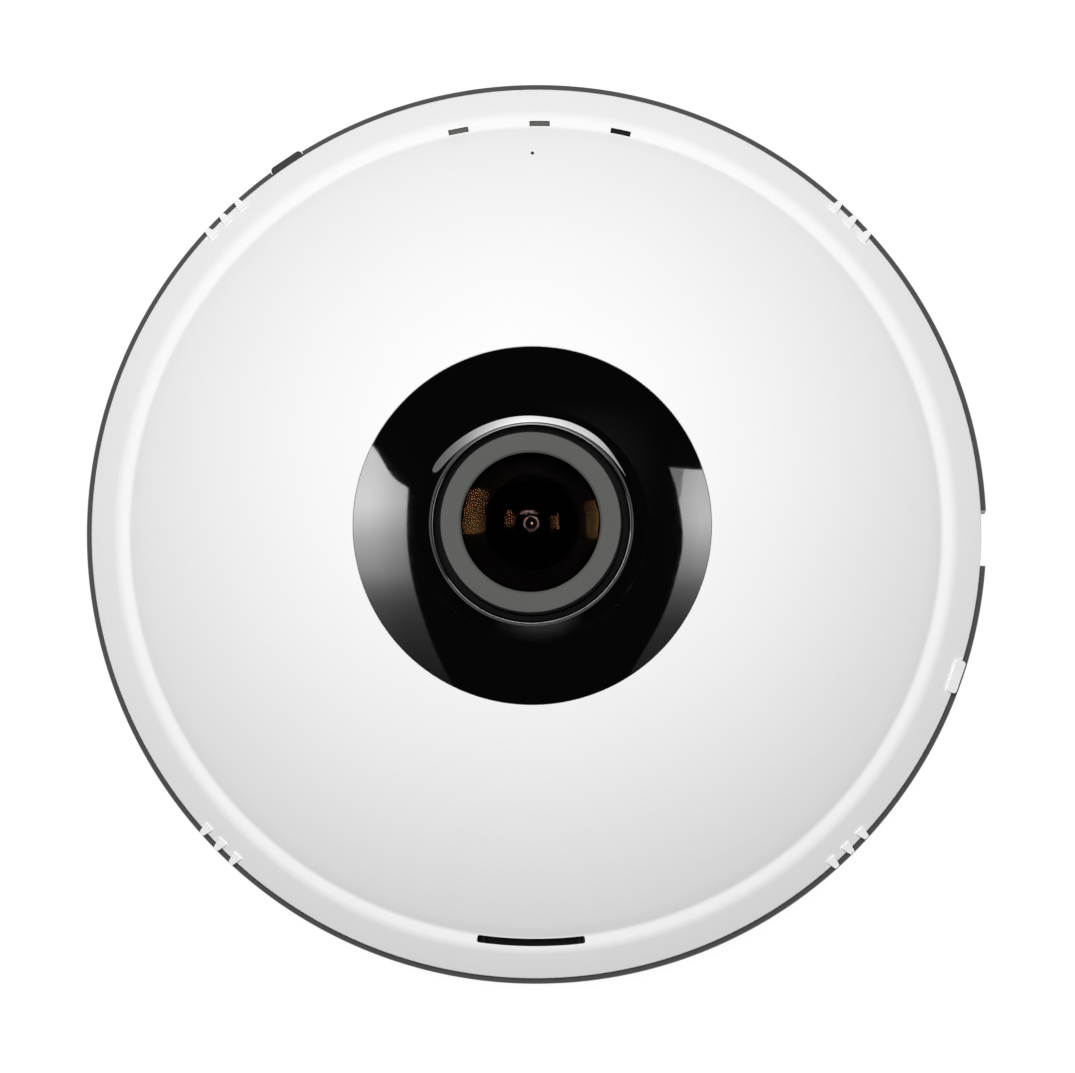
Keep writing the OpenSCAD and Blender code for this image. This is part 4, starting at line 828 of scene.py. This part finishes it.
def makeWindows():
    s = Sizes(**windowSizes)
    mid = sum(s.radii) / 2
    footX, footY = s.foot
    foot = plate((mid - footX, mid + footX), (-footY, footY), 0, 0.2)
    work = placed("window", solidOf([(band(s.radii, (-s.half, s.half), 8), s.low, s.top)]))
    bevelled(work, s.bevel, 2)
    fused(work, solidOf([(foot, s.footLow, s.footTop)]))
    piece = grown("lightGuides", work.data, crown, {
        "Groups": 1, "Per Group": 3, "Step": math.radians(s.step), "First": math.radians(s.middle)})
    bpy.data.objects.remove(work)
    settled(piece, "camera", "light_guide", "light_guides")


makeWindows()

# Keys in the lip; a flange is (outer radius, half width, low)
keySizes = {"angle": 123.9, "back": 61.2, "face": 65.35, "half": 2.6, "low": 5.5, "top": 9.2,
            "corner": 0.6, "flange": (62.2, 3.6, 6.1)}
resetSizes = {"angle": 108.85, "back": 61.2, "face": 63.5, "half": 0.75, "low": 5.9, "top": 7.3,
              "corner": 0.15, "flange": (62.2, 1.55, 6.1)}


def makeKey(name, body, sizes, node):
    s = Sizes(**sizes)
    flangeR, flangeHalf, flangeLow = s.flange
    path = [(s.back + 0.3, -s.half), (s.face, -s.half, s.corner), (s.face, s.half, s.corner),
            (s.back + 0.3, s.half)]
    piece = placed(name, solidOf([(spun(rounded(path, 6), s.angle), s.low, s.top)]))
    facedOut(piece.data)
    bevelled(piece, min(0.25, s.corner * 0.4), 4, 60)
    flange = plate((s.back, flangeR), (-flangeHalf, flangeHalf), s.angle, 0.15)
    fused(piece, solidOf([(flange, flangeLow, s.top - 0.01)]))
    settled(piece, body, "key_plastic", node, sharp=35)


makeKey("sideButton", "side_button", keySizes, "side_button")
makeKey("resetButton", "reset_button", resetSizes, "reset_button")

# Network contacts: eight gold wires that slope through the jack
contactSizes = {"count": 8, "pitch": 1.02, "width": 0.46, "sides": 10, "start": (12.93, 16.67),
                "end": (20.93, 19.27), "firstY": -8.82}


def makeContacts():
    s = Sizes(**contactSizes)
    (x0, z0), (x1, z1) = s.start, s.end
    half, sides = s.width / 2, s.sides
    run = Vector((x1 - x0, z1 - z0)).normalized() * half
    turns = [2 * math.pi * k / sides for k in range(sides)]
    work = bmesh.new()
    first, last = ([work.verts.new(((x - run.y * math.sin(a)) * mm,
                                    (s.firstY + half * math.cos(a)) * mm,
                                    (z + run.x * math.sin(a)) * mm)) for a in turns]
                   for x, z in ((x0, z0), (x1, z1)))
    for k in range(sides):
        work.faces.new((first[k], first[(k + 1) % sides], last[(k + 1) % sides], last[k]))
    work.faces.new(first[::-1])
    work.faces.new(last)
    piece = grown("ethernetContacts", meshOf(work, "contact"), row, {
        "Count": s.count, "Offset": (0, s.pitch * mm, 0)})
    settled(piece, "camera", "brass", "ethernet_contacts")


makeContacts()

# Cover screws: pan heads with a cross recess
screwSizes = {"head": 2.4, "shank": 1.27, "low": 4.6, "seat": 6.0, "end": 14.75, "point": 0.5,
              "recess": (1.35, 0.32)}


def makeScrews():
    s = Sizes(**screwSizes)
    base = lathed("screw", rounded([
        (0, s.low), (s.head - 0.35, s.low), (s.head, s.low + 0.4, 0.3), (s.head, s.seat),
        (s.shank, s.seat), (s.shank, s.end - s.point), (s.shank - s.point, s.end), (0, s.end)],
        5), 48, closed=False)
    long, short = s.recess
    cut(base, *[solidOf([(plate((-x, x), (-y, y)), 4.0, 5.5)])
                for x, y in ((long, short), (short, long))])
    base.data.transform(Matrix.Translation((fixings["circle"] * mm, 0, 0)))
    angles = fixings["angles"]
    piece = grown("coverScrews", base.data, crown, {
        "Groups": len(angles), "Per Group": 1, "First": math.radians(angles[0])})
    bpy.data.objects.remove(base)
    settled(piece, "camera", "shield_steel", "cover_screws", sharp=35)


makeScrews()
print("pieces ready")

# Floor and world: white to the camera and in reflections, with the object's soft shadow
floorLook = {"half": 3.0, "z": -0.0005, "white": 1.13, "share": 0.85, "paper": 0.8}
worldLook = {"ambient": 0.1, "mirrored": 0.012, "white": 1.0}


def seenBy(tree, *rays):
    path = addNode(tree, "LightPath").outputs
    amount = path[rays[0]]
    for ray in rays[1:]:
        amount = addMath(tree, "MAXIMUM", amount, path[ray])
    return amount


def makeFloor():
    s = Sizes(**floorLook)
    mesh = bpy.data.meshes.new("floor")
    mesh.from_pydata([(x * s.half, y * s.half, s.z) for x, y in
                      ((-1, -1), (1, -1), (1, 1), (-1, 1))], [], [(0, 1, 2, 3)])
    material, tree = bareMaterial("floorPaper")
    paper = out(tree, "BsdfDiffuse", {"Color": (*[s.paper] * 3, 1)})
    glow = out(tree, "Emission", {"Color": white, "Strength": s.white})
    seen = seenBy(tree, "Is Camera Ray", "Is Glossy Ray", "Is Transmission Ray")
    amount = addMath(tree, "MULTIPLY", seen, s.share)
    mixed = out(tree, "MixShader", {0: amount, 1: paper, 2: glow})
    addNode(tree, "OutputMaterial", {"Surface": mixed})
    mesh.materials.append(material)
    placed("floor", mesh)


def seenThrough(tree):        # straight from the camera, or through nothing but clear glass
    path = addNode(tree, "LightPath").outputs
    turns = addMath(tree, "SUBTRACT", path["Ray Depth"], path["Transmission Depth"])
    return addMath(tree, "LESS_THAN", turns, 0.5)


def makeWorld():
    world = bpy.data.worlds.new("studio")
    bpy.context.scene.world = world
    world.use_nodes = True
    tree = world.node_tree
    tree.nodes.clear()
    ambient, mirrored, shown = (
        out(tree, "Background", {"Color": white, "Strength": worldLook[key]})
        for key in ("ambient", "mirrored", "white"))
    seen = seenBy(tree, "Is Glossy Ray", "Is Transmission Ray")
    room = out(tree, "MixShader", {0: seen, 1: ambient, 2: mirrored})
    mixed = out(tree, "MixShader", {0: seenThrough(tree), 1: room, 2: shown})
    addNode(tree, "OutputWorld", {"Surface": mixed})


# Soft lamp, placed by its angles off the lens axis: x to the right and y up in the photograph
lampLook = {"at": (-1.5, 8.2), "far": 0.5, "size": (0.3, 0.3), "radiance": 10.0,
            "aim": (0, 0, 0.02)}


def makeLamp():
    s = Sizes(**lampLook)
    data = bpy.data.lights.new("topSoft", "AREA")
    data.shape = "RECTANGLE"
    data.size, data.size_y = s.size
    data.energy = s.radiance * math.pi * data.size * data.size_y
    direction = Vector([math.tan(math.radians(a)) for a in s.at] + [1]).normalized()
    lamp = placed("topSoft", data)
    lamp.matrix_world = turned(Vector(s.aim) + direction * s.far, s.aim)
    lamp.visible_camera = lamp.visible_glossy = lamp.visible_transmission = False


def arcBand(centre, radii, angles, steps):
    first, last = (math.radians(angle) for angle in angles)
    turns = [first + (last - first) * i / steps for i in range(steps + 1)]
    return [(centre[0] + r * math.cos(a), centre[1] + r * math.sin(a))
            for r, order in ((radii[0], turns), (radii[1], turns[::-1])) for a in order]


# Reflector cards round the object, which only its black gloss and its lens show. Each outline lies
# in the plane across the given axis, a third number marks a sharp corner, and the ramps give
# {place: brightness} along one axis or two. A pane shows in one face of the lens, told by how many
# glass faces its light has passed: (middle, spread).
everyCard = {"across": 2, "at": 1.05, "ramps": {}}
cards = {
    "leftCard": {"radiance": 12.6, "outline": [
        (-0.46, 0.19, 1), (-0.461, 0.03), (-0.447, -0.105), (-0.413, -0.25), (-0.36, -0.415),
        (-0.28, -0.6, 1), (-1.0, -0.6, 1), (-1.0, 0.56, 1), (-0.772, 0.495), (-0.622, 0.36),
        (-0.53, 0.24)], "ramps": {
            1: {-0.5: 0.02, -0.34: 0.05, -0.28: 0.07, -0.22: 0.104, -0.16: 0.2, -0.1: 0.38,
                -0.04: 0.495, 0.02: 0.62, 0.08: 0.82, 0.14: 1.0, 0.2: 0.98, 0.3: 0.9},
            0: {-0.62: 1.0, -0.57: 0.91, -0.52: 0.77, -0.46: 0.62}}},
    "rightCard": {"radiance": 9.4, "outline": [
        (0.453, 0.263, 1), (0.481, 0.156), (0.497, 0.007), (0.472, -0.124), (0.43, -0.254),
        (0.347, -0.417), (0.25, -0.6, 1), (1.0, -0.6, 1), (1.0, 0.31, 1), (0.776, 0.3),
        (0.587, 0.267)], "ramps": {
            1: {-0.5: 0.02, -0.34: 0.05, -0.28: 0.073, -0.22: 0.13, -0.16: 0.22, -0.1: 0.42,
                -0.04: 0.61, 0.02: 0.82, 0.08: 1.0, 0.14: 1.0, 0.2: 0.94, 0.26: 0.86},
            0: {0.48: 0.8, 0.52: 0.87, 0.57: 1.0}}},
    "topCard": {"across": 1, "at": 0.45, "radiance": 15.0, "outline": [
        (0.78, 0.19, 1), (0.587, 0.178), (0.476, 0.189), (0.387, 0.208), (0.312, 0.219),
        (0.249, 0.211), (0.141, 0.185), (0.047, 0.157), (-0.042, 0.166), (-0.135, 0.188),
        (-0.238, 0.228), (-0.366, 0.298), (-0.542, 0.435), (-0.665, 0.521), (-0.755, 0.5),
        (-0.76, 0.32), (-0.672, 0.186), (-0.546, 0.113), (-0.448, 0.065), (-0.367, 0.04),
        (-0.238, 0.009), (-0.042, 0.003), (0.142, 0.025), (0.314, 0.051), (0.477, 0.086),
        (0.588, 0.115)], "ramps": {
            0: {-0.665: 0.16, -0.542: 0.17, -0.445: 0.21, -0.366: 0.29, -0.298: 0.41,
                -0.238: 0.55, -0.184: 0.66, -0.135: 0.8, -0.087: 0.91, -0.042: 1.0,
                0.047: 0.92, 0.093: 0.87, 0.141: 0.77, 0.249: 0.7, 0.312: 0.6,
                0.387: 0.54, 0.476: 0.39, 0.587: 0.35}}},
    "lowCard": {"across": 1, "at": -0.6, "radiance": 0.4, "outline": [
        (-0.3, 0.03), (0.36, 0.03), (0.36, 0.46), (-0.3, 0.46)], "ramps": {
            0: {-0.28: 0.0, -0.16: 0.3, 0.0: 1.0, 0.15: 1.0, 0.25: 0.4, 0.35: 0.0},
            2: {0.05: 1.0, 0.2: 0.75, 0.42: 0.2}}},
    "farCard": {"radiance": 0.13, "outline": [
        (-0.04, 0.2), (0.45, 0.1), (0.45, 0.52), (-0.04, 0.52)], "ramps": {
            0: {-0.02: 0.0, 0.12: 1.0, 0.22: 1.0, 0.42: 0.0},
            1: {0.12: 0.5, 0.3: 1.0, 0.5: 0.0}}},
    "footCard": {"at": 1.04, "radiance": 42.0,
                 "outline": arcBand((-0.027, 0.053), (0.85, 1.1), (-148, -4), 18)},
    "leftPane": {"at": 1.055, "radiance": 15.5, "faces": (1, 1.5), "outline": [
        (-0.48, 0.385, 1), (-0.66, 0.47, 1), (-0.97, 0.5, 1), (-0.97, -0.09, 1), (-0.51, -0.05, 1)],
        "ramps": {0: {-0.9: 0.3, -0.8: 0.7, -0.75: 1.0, -0.61: 0.95, -0.57: 0.45, -0.48: 0.42}}},
    "rightPane": {"at": 1.055, "radiance": 17.0, "faces": (1, 1.5), "outline": [
        (0.545, 0.28, 1), (0.7, 0.33, 1), (0.97, 0.42, 1), (0.95, -0.18, 1), (0.58, -0.1, 1)],
        "ramps": {0: {0.56: 0.22, 0.68: 0.38, 0.75: 1.0, 0.8: 0.8, 0.88: 1.0}}},
    "ringPane": {"at": 1.055, "radiance": 12.0, "faces": (4, 0.5),
                 "outline": arcBand((-0.038, 0.086), (0.27, 0.37), (0, 360), 36),
                 "ramps": {1: {-0.3: 0.3, 0.45: 1.0}}},
    "arcPane": {"at": 1.055, "radiance": 11.0, "faces": (4, 0.5), "outline": [
        (-0.729, 0.587), (-0.634, 0.773), (-0.394, 0.83), (-0.17, 0.85), (0.098, 0.805),
        (0.305, 0.703), (0.401, 0.586), (0.14, 0.56), (-0.153, 0.59), (-0.41, 0.56)],
        "ramps": {0: {-0.72: 0.2, -0.5: 0.8, -0.3: 1.0, 0.0: 0.8, 0.4: 0.1}}},
    "centrePane": {"at": 1.055, "radiance": 30.0, "faces": (4, 4.5),
                   "outline": arcBand((-0.016, 0.045), (0.001, 0.015), (0, 360), 24)},
}


def curvedThrough(path, steps=5):        # a smooth line, with sharp corners where marked
    points = []
    for i, corner in enumerate(path):
        after = path[(i + 1) % len(path)]
        p1, p2 = Vector(corner[:2]), Vector(after[:2])
        p0 = p1 if len(corner) > 2 else Vector(path[i - 1][:2])
        p3 = p2 if len(after) > 2 else Vector(path[(i + 2) % len(path)][:2])
        for k in range(steps):
            t = k / steps
            points.append(0.5 * (2 * p1 + (p2 - p0) * t + (2 * p0 - 5 * p1 + 4 * p2 - p3) * t ** 2 +
                                 (3 * p1 - p0 - 3 * p2 + p3) * t ** 3))
    return points


def rampAlong(tree, place, stops):        # a grey ramp over -1 to 1 metre
    ramp = addNode(tree, "ValToRGB", {0: ranged(tree, place, 0, 1, -1, 1)})
    elements = ramp.color_ramp.elements
    for i, (position, level) in enumerate(stops.items()):
        stop = elements[i] if i < 2 else elements.new(1.0)
        stop.position = (position + 1) / 2
        stop.color = (level, level, level, 1)
    return ramp.outputs[0]


def makeCard(name, look):
    look = everyCard | look
    outline = [list(point) for point in curvedThrough(look["outline"])]
    for point in outline:
        point.insert(look["across"], look["at"])
    mesh = bpy.data.meshes.new(name)
    mesh.from_pydata(outline, [], [tuple(range(len(outline)))])
    card = placed(name, mesh)
    material, tree = bareMaterial(name)
    where = addNode(tree, "TexCoord").outputs["Object"]
    places = addNode(tree, "SeparateXYZ", {"Vector": where}).outputs
    path = addNode(tree, "LightPath").outputs
    mirrored = addMath(tree, "LESS_THAN", path["Diffuse Depth"], 0.5)        # lights nothing matt
    level = addMath(tree, "MULTIPLY", mirrored, look["radiance"])
    if "faces" in look:
        middle, spread = look["faces"]
        off = addMath(tree, "SUBTRACT", path["Transmission Depth"], middle)
        shown = addMath(tree, "LESS_THAN", addMath(tree, "ABSOLUTE", off), spread)
        level = addMath(tree, "MULTIPLY", level, shown)
    for axis, stops in look["ramps"].items():
        level = addMath(tree, "MULTIPLY", rampAlong(tree, places[axis], stops), level)
    glow = out(tree, "Emission", {"Color": white, "Strength": level})
    clear = out(tree, "BsdfTransparent")        # hides no card behind it
    addNode(tree, "OutputMaterial", {"Surface": out(tree, "AddShader", {0: glow, 1: clear})})
    mesh.materials.append(material)
    card.visible_camera = card.visible_diffuse = card.visible_shadow = False
    mirrors = bpy.data.collections.new(name + "Mirrors")
    mirrors.objects.link(bpy.data.objects["frontGlass" if "faces" in look else "lensCollar"])
    card.light_linking.receiver_collection = mirrors


makeFloor()
makeWorld()
makeLamp()
for cardName, cardLook in cards.items():
    makeCard(cardName, cardLook)
print("stage and lamp ready")
